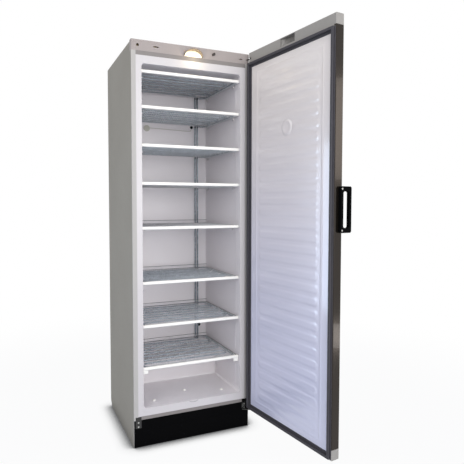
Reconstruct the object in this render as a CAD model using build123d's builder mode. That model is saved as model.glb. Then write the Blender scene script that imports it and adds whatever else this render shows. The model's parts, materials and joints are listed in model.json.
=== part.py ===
from build123d import *
from itertools import accumulate
from math import ceil, cos, pi, radians, sin
import os

# An upright freezer with evaporator shelves, its door standing open, in millimetres.
# X runs to the right, Y from the cabinet's front face to its back, Z up from the floor.
# The origin is on the floor, at the middle of the cabinet's front edge.

# ---------------------------------------------------------------- driving dimensions

# cabinet shell
CABINET_WIDTH = 595.0
BODY_DEPTH = 544.0
TOP_STEP = 6.0
SHEET = 0.8
FLANGE_BEND = 3.0
SIDE_FLANGE = 21.0
REAR_FLANGE = 12.0
SKID_CUT = 30.0
REAR_RECESS = 26.0

# front face, from the floor up
PLINTH_HEIGHT = 84.5
PLINTH_DEPTH = 20.0
PLINTH_SET_BACK = 1.5
RAIL_BOTTOM = 85.0
RAIL_TOP = 129.0
RAIL_DEPTH = 30.0
RAIL_WALL = 2.0
FRAME_BOTTOM = 145.5
FRAME_THICKNESS = 3.0
FRAME_HEAD = 36.0
FRAME_CORNER = 8.0
TOP_RAIL_HEIGHT = 19.0
FASCIA_HEIGHT = 49.0
FASCIA_TOP = 1880.0
FASCIA_DEPTH = 28.0
FASCIA_WALL = 2.0
FASCIA_CORNER = 5.0

# cavity and its liner
CAVITY_INSET = 48.0
CAVITY_FLOOR = 182.0
CAVITY_DEPTH = 460.0
LINER_WALL = 2.0
LINER_CORNER = 9.0
HUMP_FRONT = 310.0
HUMP_TOP = 300.0
FOAM_UNDERSIDE = 130.0
HUMP_FOAM = 46.0
WALL_RIB_DEPTH = 3.0
WALL_RIB_WIDTH = 9.0
WALL_RIB_FIRST = 28.0
WALL_RIB_PITCH = 20.0
WALL_RIB_FOOT = 26.0
WALL_RIB_HEAD = 33.0
NUB_Y = 8.0
NUB_SIZE = 6.0
NUB_REACH = 4.5
DRAIN_WIDTH = 46.0
DRAIN_DEPTH = 9.0
FLOOR_STUD_RADIUS = 7.0
FLOOR_STUD_HEIGHT = 3.0
FLOOR_STUD_TAPER = 30.0
FLOOR_STUD_SIDES = 8
BACK_STUD_Y = 137.0
FRONT_STUD_Y = 72.0
FRONT_STUD_FROM_WALL = 70.5

# evaporator shelves, with the spaces between them in their proportions, from the floor up
SHELF_SPACES = (181.0, 200.0, 205.0, 258.0, 208.0, 176.0, 175.0, 161.0, 30.0)
TUBE_RADIUS = 4.0
RUN_COUNT = 8
RUN_PITCH = 52.0
RUN_FIRST = 38.0
BEND_STEP = 60.0
TUBE_SIDE_GAP = 1.0
TUBE_RETURN_GAP = 6.0
TUBE_SIDES = 6
SHELF_SIDE_GAP = 4.5
GRID_FRONT = 15.0
GRID_BACK = 432.0
GRID_THICKNESS = 2.0
WIRE_WIDTH = 2.0
WIRE_COUNT = 12
UPSTAND = 20.0
SIDE_BAR_WIDTH = 4.0
SIDE_BAR_DROP = 12.0
TRIM_FRONT = 12.0
TRIM_DEPTH = 13.0
TRIM_HEIGHT = 14.0
TRIM_END_GAP = 2.5
BRACKET_DROP = 17.0
BRACKET_WIDTH = 24.0
PEG_RADIUS = 6.5
PEG_ROWS = (75.0, 422.0)
RISER_FROM_WALL = 69.5
RISER_PITCH = 14.0
RISER_Y = 446.0
SEAT_GAP = 0.3

# sensor and plugs on the cavity's back wall
SENSOR_FROM_WALL = 147.5
SENSOR_DROP = 217.0
SENSOR_RADIUS = 17.0
SENSOR_SIDES = 24
SENSOR_THICKNESS = 8.0
LEAD_RADIUS = 1.5
LEAD_SAG = 3.0
LEAD_RUN = 136.0
LEAD_TURN = 20.0
UPPER_PLUG_FROM_WALL = 87.5
UPPER_PLUG_DROP = 196.0
LOWER_PLUG_FROM_WALL = 43.5
LOWER_PLUG_RISE = 248.0
PLUG_RADIUS = 9.0
PLUG_SIDES = 12
PLUG_HEIGHT = 5.0

# lamp and switch in the fascia
LAMP_HALF_WIDTH = 47.0
LAMP_HEIGHT = 28.0
SILL_RISE = 2.0
HOOD_WALL = 3.0
HOOD_REACH = 28.0
HOOD_FOOT_REACH = 10.0
LENS_THICKNESS = 2.0
BULB_RADIUS = 8.0
BULB_LENGTH = 52.0
BULB_SIDES = 12
PLUNGER_X = 104.0
PLUNGER_RADIUS = 6.5
PLUNGER_SIDES = 16
PLUNGER_REACH = 14.0
PLUNGER_TAIL = 14.0
SWITCH_RADIUS = 10.0
PORT_FROM_SIDE = 30.5
PORT_RADIUS = 6.5
PILOT_X = -41.5
PILOT_RADIUS = 2.5
LEFT_SLOT_FROM_SIDE = 116.0
LEFT_SLOT_LENGTH = 26.0
LEFT_SLOT_WIDTH = 5.5
RIGHT_SLOT_FROM_SIDE = 46.5
RIGHT_SLOT_LENGTH = 16.0
RIGHT_SLOT_WIDTH = 4.0

# door
DOOR_WIDTH = CABINET_WIDTH
DOOR_THICKNESS = 41.0
DOOR_BOTTOM = 100.0
DOOR_GAP = 15.0
CAP_HEIGHT = 44.0
DOOR_CORNER = 2.0
CAP_EDGE = 1.5
SKIN_LIP = 12.0
PANEL_SHEET = 1.5
RIB_WIDTH = 34.0
RIB_RISE = 2.5
RIB_COUNT = 30
RIB_MARGIN = 65.5
RIB_FROM_HINGE = 94.0
RIB_FROM_FREE_EDGE = 89.0
ROUND_BOSS_RADIUS = 38.0
ROUND_BOSS_SIDES = 32
ROUND_BOSS_RISE = 3.5
ROUND_BOSS_DROP = 402.0
GASKET_EDGE = 3.0
GASKET_BASE = 24.0
GASKET_BASE_HEIGHT = 3.0
GASKET_CREST_EDGE = 5.0
GASKET_CREST = 12.0
GASKET_CLEARANCE = 0.3
GASKET_TOP_DROP = 51.0
GASKET_BOTTOM_RISE = 6.0
GASKET_NECK = 7.0
GASKET_MAGNET_HEIGHT = 5.5
RECESS_HALF_WIDTH = 49.0
RECESS_DEPTH = 20.0
RECESS_DROP = 39.0
RECESS_ROOF = 4.0
RECESS_SHEET = 0.8
POCKET_REACH = 18.0
POCKET_BELOW_ARM = 3.5
POCKET_HEIGHT = 10.0

# hinge
DOOR_REST_ANGLE = 97.3
PIVOT_FROM_EDGE = 4.0
PIVOT_FROM_FACE = 7.0
PIN_RADIUS = 3.0
PIN_SIDES = 12
PIN_CLEARANCE = 0.05
BORE_END_GAP = 2.0
COLLAR_RADIUS = 4.0
BRACKET_SHEET = 4.0
BRACKET_PLATE_WIDTH = 28.0
BRACKET_PLATE_TOP = 144.0
BRACKET_PLATE_BOTTOM = 91.0
BRACKET_EDGE_GAP = 8.0
UPPER_ARM_WIDTH = 12.0
UPPER_ARM_SHEET = 3.0
UPPER_ARM_RISE = 19.0
PIN_ENGAGEMENT = 18.0
SCREW_HEAD_RADIUS = 4.0
SCREW_RADIUS = 2.0
SCREW_SIDES = 8
SCREW_HEAD_DEPTH = 2.0
SCREW_LENGTH = 14.0
SCREW_CLEARANCE = 0.1
PLATE_SCREW_LOW = 98.0
PLATE_SCREW_PITCH = 20.0
ARM_SCREW_RISE = 33.0

# handle
HANDLE_BOTTOM = 1023.0
HANDLE_TOP = 1208.0
HANDLE_STAND = 16.0
HANDLE_INNER = 22.0
HANDLE_OUTER = 79.0
HANDLE_BASE_BAR = 11.0
HANDLE_GRIP_BAR = 12.5
HANDLE_END_BAR = 20.0
HANDLE_CORNER = 5.0
HANDLE_EDGE_CHAMFER = 2.0

# machine compartment
PAN_BOTTOM = 22.0
PAN_SHEET = 1.5
PAN_FRONT = 24.0
PAN_BACK = 530.0
PAN_FLANGE = 12.0
COMPRESSOR_X = 70.0
COMPRESSOR_Y = 442.0
COMPRESSOR_RADIUS = 74.0
COMPRESSOR_HEIGHT = 158.0
COMPRESSOR_SEAM = 4.0
COMPRESSOR_SHOULDER = 18.0
COMPRESSOR_SIDES = 24
FOOT_PLATE_SHEET = 2.5
MOUNT_HEIGHT = 16.0
MOUNT_RADIUS = 11.0
MOUNT_SIDES = 12
MOUNT_SPAN_X = 170.0
MOUNT_SPAN_Y = 90.0
RELAY_WIDTH = 52.0
RELAY_DEPTH = 34.0
RELAY_HEIGHT = 62.0
TRAY_LENGTH = 150.0
TRAY_WIDTH = 110.0
TRAY_HEIGHT = 22.0
TRAY_WALL = 1.5
CONDENSER_RUNS = 14
CONDENSER_BOTTOM = 300.0
CONDENSER_HEAD = 325.2
CONDENSER_FROM_SIDE = 67.5
CONDENSER_TUBE_RADIUS = 3.0
CONDENSER_WIRES = 17
CONDENSER_WIRE = 2.0
CONDENSER_STAND = 8.0
CONDENSER_OUTLET_GAP = 16.0
CONDENSER_OUTLET_Z = 140.0
TAB_WIDTH = 20.0
TAB_HEIGHT = 12.0
DRIER_RADIUS = 9.0
DRIER_LENGTH = 90.0
GLAND_RADIUS = 8.0
GLAND_LENGTH = 22.0
GLAND_TAPER = 6.0
ROLLER_RADIUS = 10.0
ROLLER_SIDES = 24
ROLLER_WIDTH = 20.0
ROLLER_FROM_SIDE = 47.5
ROLLER_Y = 500.0
ROLLER_SIDE_GAP = 1.0
EAR_SHEET = 2.0
AXLE_RADIUS = 3.0
AXLE_SIDES = 12
RUNNING_CLEARANCE = 0.1
FOOT_FROM_SIDE = 35.5
FOOT_Y = 50.0
FOOT_PAD_RADIUS = 17.0
FOOT_PAD_HEIGHT = 9.0
FOOT_PAD_TAPER = 12.0
FOOT_STUD_RADIUS = 4.0
FOOT_STUD_SIDES = 12
FOOT_STUD_TOP = 44.0
FOOT_NUT_RADIUS = 9.0
FOOT_NUT_SIDES = 6
FOOT_NUT_HEIGHT = 8.0

# turns, in degrees
HALF_TURN = 180.0
QUARTER_TURN = 90.0

os.makedirs("parts", exist_ok=True)

# ---------------------------------------------------------------- shared places

fascia_bottom = FASCIA_TOP - FASCIA_HEIGHT
frame_top = fascia_bottom - TOP_RAIL_HEIGHT
cavity_top = frame_top - FRAME_HEAD
cabinet_top = FASCIA_TOP - TOP_STEP
door_top = FASCIA_TOP

half_width = CABINET_WIDTH / 2
inner_half = half_width - SHEET
cavity_half = half_width - CAVITY_INSET
liner_half = cavity_half + LINER_WALL
frame_half = half_width - SIDE_FLANGE
rear_panel_face = BODY_DEPTH - REAR_RECESS
shell_top = cabinet_top - SHEET
liner_back = CAVITY_DEPTH + LINER_WALL
hump_back = HUMP_FRONT + LINER_WALL
hump_soffit = HUMP_TOP - LINER_WALL - HUMP_FOAM
hump_top_under = HUMP_TOP - LINER_WALL

space_scale = (cavity_top - CAVITY_FLOOR) / sum(SHELF_SPACES)
shelf_levels = [CAVITY_FLOOR + space_scale * rise for rise in list(accumulate(SHELF_SPACES))[:-1]]
shelf_half = cavity_half - SHELF_SIDE_GAP

# the hinge bracket's plate, let in flush on the right and mirrored for the blank on the left
plate_outer = half_width - BRACKET_EDGE_GAP
plate_inner = plate_outer - BRACKET_PLATE_WIDTH
plate_middle = (plate_outer + plate_inner) / 2
pivot_x = half_width - PIVOT_FROM_EDGE
pivot_y = -DOOR_GAP - PIVOT_FROM_FACE

# the door's own planes, turned about the hinge axis to where the door stands
rest = radians(DOOR_REST_ANGLE)
along = Vector(-cos(rest), -sin(rest), 0)
outward = Vector(sin(rest), -cos(rest), 0)
door_corner = Vector(pivot_x, pivot_y, 0) - along * PIVOT_FROM_EDGE - outward * PIVOT_FROM_FACE
# x from the hinge edge to the free edge, y from the inner face outward, z up
DOOR_PLAN = Plane(origin=door_corner, x_dir=along, z_dir=(0, 0, 1))
# x from the hinge edge to the free edge, y up, z out of the inner face
DOOR_FACE = Plane(origin=door_corner, x_dir=along, z_dir=outward * -1)
# x from the inner face outward, y up, z out of the free edge
DOOR_EDGE = Plane(origin=door_corner, x_dir=outward, z_dir=along)

fascia_inner_half = half_width - FASCIA_WALL
upper_arm_outer = fascia_inner_half - FASCIA_WALL
upper_arm_inner = upper_arm_outer - UPPER_ARM_WIDTH
upper_arm_middle = (upper_arm_inner + upper_arm_outer) / 2
upper_arm_z = fascia_bottom + UPPER_ARM_RISE
upper_arm_top = upper_arm_z + UPPER_ARM_SHEET
arm_screws = [(upper_arm_middle, fascia_bottom + ARM_SCREW_RISE)]
plate_screws = {
    side: [
        (side * plate_middle, PLATE_SCREW_LOW),
        (side * plate_middle, PLATE_SCREW_LOW + PLATE_SCREW_PITCH),
    ]
    for side in (-1, 1)
}
skin_bottom = DOOR_BOTTOM + CAP_HEIGHT
skin_top = door_top - CAP_HEIGHT
door_middle = DOOR_WIDTH / 2


def save(builder, name):
    """Label a finished piece and write it out under its own name."""
    builder.part.label = name
    export_step(builder.part, f"parts/{name}.step")


def bar(x0, x1, y0, y1, z0, z1, mode=Mode.ADD):
    """A straight bar between two opposite corners, in the current builder."""
    with Locations(((x0 + x1) / 2, (y0 + y1) / 2, (z0 + z1) / 2)):
        Box(x1 - x0, y1 - y0, z1 - z0, mode=mode)


def door_bar(l0, l1, t0, t1, z0, z1, mode=Mode.ADD):
    """A straight bar on the door: along it, outward through it and up."""
    with BuildSketch(DOOR_PLAN.offset(z0)) as foot:
        with Locations(((l0 + l1) / 2, (t0 + t1) / 2)):
            Rectangle(l1 - l0, t1 - t0)
    extrude(foot.sketch, amount=z1 - z0, mode=mode)


def arc_points(centre, radius, start, sweep):
    """The corners of a tube bend, by its centre, first angle and turn in degrees."""
    steps = ceil(abs(sweep) / BEND_STEP)
    angles = [radians(start + sweep * step / steps) for step in range(steps + 1)]
    return [(centre[0] + radius * cos(a), centre[1] + radius * sin(a)) for a in angles]


def serpentine(runs, pitch, first, left, right):
    """A tube's corners from its last run back to its first, with a bend at each turn."""
    points = []
    for run in range(runs - 1, 0, -1):
        middle = first + (run - 0.5) * pitch
        goes_left = (runs - 1 - run) % 2 == 0
        centre = (left if goes_left else right, middle)
        points += arc_points(centre, pitch / 2, QUARTER_TURN, HALF_TURN if goes_left else -HALF_TURN)
    return points


def grid_face(x_span, y0, y1, wires):
    """A flat frame with wires across it, drawn in the current sketch."""
    pitch = (x_span - WIRE_WIDTH) / (wires - 1)
    with Locations((0, (y0 + y1) / 2)):
        Rectangle(x_span, y1 - y0)
        with GridLocations(pitch, 0, wires - 1, 1):
            Rectangle(pitch - WIRE_WIDTH, y1 - y0 - 4 * WIRE_WIDTH, mode=Mode.SUBTRACT)


def cut_rectangle(across, up, cut, mode=Mode.ADD):
    """A rectangle with its corners cut off, at the current place in the current sketch."""
    with BuildSketch(mode=Mode.PRIVATE) as outline:
        Rectangle(across, up)
        chamfer(outline.vertices(), cut)
    add(outline.sketch, mode=mode)


def rods(plane, sites, radius, depth, mode=Mode.ADD):
    """Round rods, or holes, from a plane downward."""
    with BuildSketch(plane) as ends:
        with Locations(*sites):
            Circle(radius)
    extrude(ends.sketch, amount=-depth, mode=mode)


def flat_rods(plane, sites, radius, sides, depth, mode=Mode.ADD):
    """Rods, or holes, with flat sides, from a plane downward."""
    with BuildSketch(plane) as ends:
        with Locations(*sites):
            RegularPolygon(radius, sides)
    extrude(ends.sketch, amount=-depth, mode=mode)


def shank_holes(plane, sites, depth):
    """The holes for the shanks of screws, from a plane downward."""
    flat_rods(plane, sites, SCREW_RADIUS + SCREW_CLEARANCE, SCREW_SIDES, depth, Mode.SUBTRACT)


def screw_holes(plane, sites, depth):
    """Flush screw holes from a plane downward: a head's seat and the shank's hole."""
    flat_rods(plane, sites, SCREW_HEAD_RADIUS + SCREW_CLEARANCE, SCREW_SIDES, SCREW_HEAD_DEPTH, Mode.SUBTRACT)
    shank_holes(plane, sites, depth)


def screws(plane, sites):
    """Flush screws from a plane downward."""
    flat_rods(plane, sites, SCREW_HEAD_RADIUS, SCREW_SIDES, SCREW_HEAD_DEPTH)
    flat_rods(plane, sites, SCREW_RADIUS, SCREW_SIDES, SCREW_LENGTH)


# ---------------------------------------------------------------- cabinet shell

with BuildPart() as side_panel_left:
    with BuildSketch(Plane.YZ.offset(-half_width)):
        with BuildLine():
            Polyline(
                (0, 0),
                (BODY_DEPTH - SKID_CUT, 0),
                (BODY_DEPTH, SKID_CUT),
                (BODY_DEPTH, shell_top),
                (FASCIA_DEPTH, shell_top),
                (FASCIA_DEPTH, fascia_bottom),
                (0, fascia_bottom),
                close=True,
            )
        make_face()
    extrude(amount=SHEET)
    bar(-half_width, -half_width + SIDE_FLANGE, 0, SHEET, RAIL_TOP, fascia_bottom)
    bar(-half_width, -half_width + REAR_FLANGE, BODY_DEPTH - SHEET, BODY_DEPTH, SKID_CUT, shell_top)
    bar(-plate_outer, -frame_half, 0, SHEET, RAIL_TOP, BRACKET_PLATE_TOP, mode=Mode.SUBTRACT)
    bar(-half_width, -half_width + FLANGE_BEND, 0, FLANGE_BEND, RAIL_TOP, fascia_bottom, Mode.SUBTRACT)
    with BuildSketch(Plane.XY.offset(RAIL_TOP)):
        with Locations((-half_width + FLANGE_BEND, FLANGE_BEND)):
            Circle(FLANGE_BEND)
            Circle(FLANGE_BEND - SHEET, mode=Mode.SUBTRACT)
            Rectangle(FLANGE_BEND, FLANGE_BEND, align=Align.MAX, mode=Mode.INTERSECT)
    extrude(amount=fascia_bottom - RAIL_TOP)
save(side_panel_left, "side_panel_left")

with BuildPart() as side_panel_right:
    mirror(side_panel_left.part, about=Plane.YZ)
save(side_panel_right, "side_panel_right")

with BuildPart() as top_panel:
    bar(-half_width, half_width, FASCIA_DEPTH, rear_panel_face + SHEET, shell_top, cabinet_top)
save(top_panel, "top_panel")

with BuildPart() as rear_panel:
    bar(-inner_half, inner_half, rear_panel_face, rear_panel_face + SHEET, hump_soffit, shell_top)
save(rear_panel, "rear_panel")

# ---------------------------------------------------------------- insulation

foam_front = FRAME_THICKNESS
foam_top_inner = cavity_top + LINER_WALL
foam_floor_top = CAVITY_FLOOR - LINER_WALL

with BuildPart() as foam_walls:
    bar(-inner_half, -liner_half, foam_front, rear_panel_face, FOAM_UNDERSIDE, fascia_bottom)
    bar(-inner_half, -liner_half, foam_front, RAIL_DEPTH, FOAM_UNDERSIDE, BRACKET_PLATE_TOP, Mode.SUBTRACT)
    mirror(about=Plane.YZ)
save(foam_walls, "foam_walls")

with BuildPart() as foam_back:
    bar(-liner_half, liner_half, liner_back, rear_panel_face, hump_soffit, fascia_bottom)
save(foam_back, "foam_back")

with BuildPart() as foam_top:
    bar(-liner_half, liner_half, foam_front, liner_back, foam_top_inner, fascia_bottom)
    bar(-inner_half, inner_half, FASCIA_DEPTH, rear_panel_face, fascia_bottom, shell_top)
    shank_holes(Plane.XZ.offset(-FASCIA_DEPTH), arm_screws, SCREW_LENGTH)
save(foam_top, "foam_top")

with BuildPart() as foam_floor:
    bar(-liner_half, liner_half, foam_front, hump_back, FOAM_UNDERSIDE, foam_floor_top)
save(foam_floor, "foam_floor")

with BuildPart() as foam_hump:
    bar(-liner_half, liner_half, hump_back, hump_back + HUMP_FOAM, FOAM_UNDERSIDE, hump_top_under)
    bar(-liner_half, liner_half, hump_back, liner_back, hump_soffit, hump_top_under)
    crest = edges().filter_by(Axis.X).filter_by_position(Axis.Y, hump_back - SEAT_GAP, hump_back + SEAT_GAP)
    chamfer(crest.sort_by(Axis.Z)[-1], LINER_CORNER)
save(foam_hump, "foam_hump")

# ---------------------------------------------------------------- liner and white front frame


def cavity_block(grow):
    """The cavity as a block with its corners cut off, grown outward on all sides but its mouth."""
    with BuildPart() as block:
        with BuildSketch(Plane.YZ.offset(-cavity_half - grow)):
            with BuildLine():
                Polyline(
                    (FRAME_THICKNESS, CAVITY_FLOOR - grow),
                    (HUMP_FRONT + grow, CAVITY_FLOOR - grow),
                    (HUMP_FRONT + grow, HUMP_TOP - grow),
                    (CAVITY_DEPTH + grow, HUMP_TOP - grow),
                    (CAVITY_DEPTH + grow, cavity_top + grow),
                    (FRAME_THICKNESS, cavity_top + grow),
                    close=True,
                )
            make_face()
        extrude(amount=2 * (cavity_half + grow))
        behind_mouth = edges().filter_by_position(Axis.Y, FRAME_THICKNESS + SEAT_GAP, CAVITY_DEPTH + grow)
        chamfer(behind_mouth, LINER_CORNER)
    return block.part


liner_outside = cavity_block(LINER_WALL)
liner_inside = cavity_block(0)

with BuildPart() as liner:
    add(liner_outside)
    add(liner_inside, mode=Mode.SUBTRACT)
    stops = [CAVITY_FLOOR, *shelf_levels]
    for side in (-1, 1):
        with BuildSketch(Plane.YZ.offset(side * (cavity_half - WALL_RIB_DEPTH / 2))):
            for below, above in zip(stops, stops[1:]):
                length = above - below - WALL_RIB_FOOT - WALL_RIB_HEAD
                middle = below + WALL_RIB_FOOT + length / 2
                with Locations(
                    (WALL_RIB_FIRST + WALL_RIB_WIDTH / 2, middle),
                    (WALL_RIB_FIRST + WALL_RIB_PITCH + WALL_RIB_WIDTH / 2, middle),
                ):
                    Rectangle(WALL_RIB_WIDTH, length)
            chamfer(vertices(), WALL_RIB_WIDTH / 3)
        extrude(amount=WALL_RIB_DEPTH / 2, both=True)
        with BuildSketch(Plane.YZ.offset(side * (cavity_half - NUB_REACH / 2))):
            for below, above in zip(shelf_levels, shelf_levels[1:]):
                with Locations((NUB_Y, below + WALL_RIB_FOOT), (NUB_Y, above - WALL_RIB_HEAD)):
                    Rectangle(NUB_SIZE, NUB_SIZE)
        extrude(amount=NUB_REACH / 2, both=True)
    front_stud_x = cavity_half - FRONT_STUD_FROM_WALL
    with BuildSketch(Plane.XY.offset(CAVITY_FLOOR)):
        with Locations((0, BACK_STUD_Y), (-front_stud_x, FRONT_STUD_Y), (front_stud_x, FRONT_STUD_Y)):
            RegularPolygon(FLOOR_STUD_RADIUS, FLOOR_STUD_SIDES)
    extrude(amount=FLOOR_STUD_HEIGHT, taper=FLOOR_STUD_TAPER)
save(liner, "liner")

with BuildPart() as front_frame:
    with BuildSketch(Plane.XZ.offset(-FRAME_THICKNESS)):
        with Locations((0, (FRAME_BOTTOM + frame_top) / 2)):
            Rectangle(2 * frame_half, frame_top - FRAME_BOTTOM)
        with Locations((0, (CAVITY_FLOOR + cavity_top) / 2)):
            RectangleRounded(2 * cavity_half, cavity_top - CAVITY_FLOOR, FRAME_CORNER, mode=Mode.SUBTRACT)
    extrude(amount=FRAME_THICKNESS)
    with BuildSketch(Plane.XZ):
        with Locations((0, CAVITY_FLOOR)):
            Ellipse(DRAIN_WIDTH / 2, DRAIN_DEPTH)
    extrude(amount=-FRAME_THICKNESS / 2, mode=Mode.SUBTRACT)
save(front_frame, "front_frame")

# ---------------------------------------------------------------- rails and plinth

with BuildPart() as front_rails:
    bar(-frame_half, frame_half, 0, FRAME_THICKNESS, frame_top, fascia_bottom)
    bar(-frame_half, frame_half, 0, FRAME_THICKNESS, RAIL_TOP, FRAME_BOTTOM)
    for side in (-1, 1):
        with Locations((side * plate_middle, BRACKET_SHEET / 2, (RAIL_TOP + BRACKET_PLATE_TOP) / 2)):
            Box(BRACKET_PLATE_WIDTH, BRACKET_SHEET, BRACKET_PLATE_TOP - RAIL_TOP, mode=Mode.SUBTRACT)
save(front_rails, "front_rails")

with BuildPart() as bottom_rail:
    bar(-inner_half, inner_half, 0, RAIL_DEPTH, RAIL_BOTTOM, RAIL_TOP)
    bar(-inner_half, inner_half, RAIL_WALL, RAIL_DEPTH, RAIL_BOTTOM + RAIL_WALL, RAIL_TOP - RAIL_WALL,
        mode=Mode.SUBTRACT)
    for side in (-1, 1):
        with Locations((
            side * plate_middle,
            BRACKET_SHEET + RAIL_WALL / 2,
            (RAIL_BOTTOM + RAIL_TOP) / 2,
        )):
            Box(BRACKET_PLATE_WIDTH + 4 * RAIL_WALL, RAIL_WALL, RAIL_TOP - RAIL_BOTTOM)
        with Locations((side * plate_middle, BRACKET_SHEET / 2, (RAIL_TOP + BRACKET_PLATE_BOTTOM) / 2)):
            Box(BRACKET_PLATE_WIDTH, BRACKET_SHEET, RAIL_TOP - BRACKET_PLATE_BOTTOM, mode=Mode.SUBTRACT)
    for sites in plate_screws.values():
        shank_holes(Plane.XZ, sites, SCREW_LENGTH)
save(bottom_rail, "bottom_rail")

with BuildPart() as plinth:
    bar(-inner_half, inner_half, PLINTH_SET_BACK, PLINTH_DEPTH, 0, PLINTH_HEIGHT)
    offset(amount=-RAIL_WALL, openings=faces().sort_by(Axis.Y)[-1])
save(plinth, "plinth")

# ---------------------------------------------------------------- fascia, lamp and switch


def half_ellipse(across, up):
    """The arch of the lamp opening, standing on the current location."""
    Ellipse(across, up)
    with Locations((0, -up / 2)):
        Rectangle(2 * across, up, mode=Mode.SUBTRACT)


lamp_sill = fascia_bottom + SILL_RISE
fascia_row = fascia_bottom + FASCIA_HEIGHT / 2
hood_across = LAMP_HALF_WIDTH
hood_up = LAMP_HEIGHT + HOOD_WALL
window_across = LAMP_HALF_WIDTH - HOOD_WALL

with BuildPart() as top_fascia:
    with BuildSketch(Plane.XY.offset(fascia_bottom)):
        with Locations((0, FASCIA_DEPTH / 2)):
            Rectangle(CABINET_WIDTH, FASCIA_DEPTH)
        fillet(vertices().group_by(Axis.Y)[0], FASCIA_CORNER)
    extrude(amount=FASCIA_TOP - fascia_bottom)
    with BuildSketch(Plane.XY.offset(fascia_bottom + FASCIA_WALL)):
        with Locations((0, (FASCIA_WALL + FASCIA_DEPTH) / 2)):
            Rectangle(2 * fascia_inner_half, FASCIA_DEPTH - FASCIA_WALL)
        fillet(vertices().group_by(Axis.Y)[0], FASCIA_CORNER - FASCIA_WALL)
    extrude(amount=FASCIA_TOP - fascia_bottom - 2 * FASCIA_WALL, mode=Mode.SUBTRACT)
    with BuildSketch(Plane.XZ):
        with Locations((0, lamp_sill)):
            half_ellipse(window_across, LAMP_HEIGHT)
        with Locations((PLUNGER_X, fascia_row)):
            RegularPolygon(PLUNGER_RADIUS + RUNNING_CLEARANCE, PLUNGER_SIDES)
        with Locations((PORT_FROM_SIDE - half_width, fascia_row)):
            RegularPolygon(PORT_RADIUS, PLUNGER_SIDES)
        with Locations((PILOT_X, fascia_row)):
            RegularPolygon(PILOT_RADIUS, SCREW_SIDES)
        with Locations((LEFT_SLOT_FROM_SIDE - half_width, fascia_row)):
            cut_rectangle(LEFT_SLOT_LENGTH, LEFT_SLOT_WIDTH, LEFT_SLOT_WIDTH / 3)
        with Locations((half_width - RIGHT_SLOT_FROM_SIDE, fascia_row - RIGHT_SLOT_WIDTH)):
            cut_rectangle(RIGHT_SLOT_LENGTH, RIGHT_SLOT_WIDTH, RIGHT_SLOT_WIDTH / 3)
        with Locations((upper_arm_middle, upper_arm_z + UPPER_ARM_SHEET / 2)):
            Rectangle(UPPER_ARM_WIDTH + 2 * SEAT_GAP, UPPER_ARM_SHEET + 2 * SEAT_GAP)
    extrude(amount=-FASCIA_CORNER, mode=Mode.SUBTRACT)
save(top_fascia, "top_fascia")

with BuildPart() as lamp_hood:
    with BuildSketch(Plane.XZ):
        with Locations((0, lamp_sill)):
            half_ellipse(hood_across, hood_up)
            Ellipse(window_across, LAMP_HEIGHT, mode=Mode.SUBTRACT)
    extrude(amount=HOOD_REACH)
    slant = Plane(origin=(0, -HOOD_FOOT_REACH, lamp_sill), z_dir=(0, hood_up, HOOD_REACH - HOOD_FOOT_REACH))
    split(bisect_by=slant, keep=Keep.TOP)
save(lamp_hood, "lamp_hood")

with BuildPart() as lamp_lens:
    with BuildSketch(Plane.XZ.offset(-FASCIA_WALL - LENS_THICKNESS)):
        with Locations((0, lamp_sill)):
            half_ellipse(hood_across, LAMP_HEIGHT)
    extrude(amount=LENS_THICKNESS)
save(lamp_lens, "lamp_lens")

bulb_y = FASCIA_WALL + LENS_THICKNESS + BULB_RADIUS + FASCIA_WALL
bulb_z = lamp_sill + LAMP_HEIGHT / 2 - FASCIA_WALL

with BuildPart() as lamp_bulb:
    with BuildSketch(Plane.YZ.offset(-BULB_LENGTH / 2)):
        with Locations((bulb_y, bulb_z)):
            RegularPolygon(BULB_RADIUS, BULB_SIDES)
    extrude(amount=BULB_LENGTH)
    chamfer(edges().group_by(Axis.X)[0] + edges().group_by(Axis.X)[-1], BULB_RADIUS / 3)
save(lamp_bulb, "lamp_bulb")

with BuildPart() as lamp_holder:
    bar(-hood_across, hood_across, FASCIA_DEPTH - FASCIA_WALL, FASCIA_DEPTH,
        lamp_sill, lamp_sill + LAMP_HEIGHT)
    for side in (-1, 1):
        with Locations((
            side * (BULB_LENGTH / 2 + FASCIA_WALL),
            (bulb_y - BULB_RADIUS + FASCIA_DEPTH) / 2,
            bulb_z,
        )):
            Box(2 * FASCIA_WALL, FASCIA_DEPTH - bulb_y + BULB_RADIUS, 2 * BULB_RADIUS)
save(lamp_holder, "lamp_holder")

with BuildPart() as switch_body:
    with BuildSketch(Plane.XZ.offset(-FASCIA_WALL)):
        with Locations((PLUNGER_X, fascia_row)):
            RegularPolygon(SWITCH_RADIUS, PLUNGER_SIDES)
            RegularPolygon(PLUNGER_RADIUS + RUNNING_CLEARANCE, PLUNGER_SIDES, mode=Mode.SUBTRACT)
    extrude(amount=FASCIA_WALL - FASCIA_DEPTH)
save(switch_body, "switch_body")

with BuildPart() as switch_plunger:
    with BuildSketch(Plane.XZ.offset(-PLUNGER_TAIL)):
        with Locations((PLUNGER_X, fascia_row)):
            RegularPolygon(PLUNGER_RADIUS, PLUNGER_SIDES)
    extrude(amount=PLUNGER_TAIL + PLUNGER_REACH)
    chamfer(edges().group_by(Axis.Y)[0], PLUNGER_RADIUS / 4)
save(switch_plunger, "switch_plunger")

# ---------------------------------------------------------------- evaporator shelves

bend_radius = RUN_PITCH / 2
run_last = RUN_FIRST + (RUN_COUNT - 1) * RUN_PITCH
tube_half = shelf_half - SIDE_BAR_WIDTH - TUBE_RADIUS - TUBE_SIDE_GAP
left_bends = -tube_half + bend_radius
right_bends = tube_half - 2 * TUBE_RADIUS - bend_radius - TUBE_RETURN_GAP
tube_flat = TUBE_RADIUS * cos(pi / TUBE_SIDES)
riser_x = cavity_half - RISER_FROM_WALL
return_x = riser_x + RISER_PITCH

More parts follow.
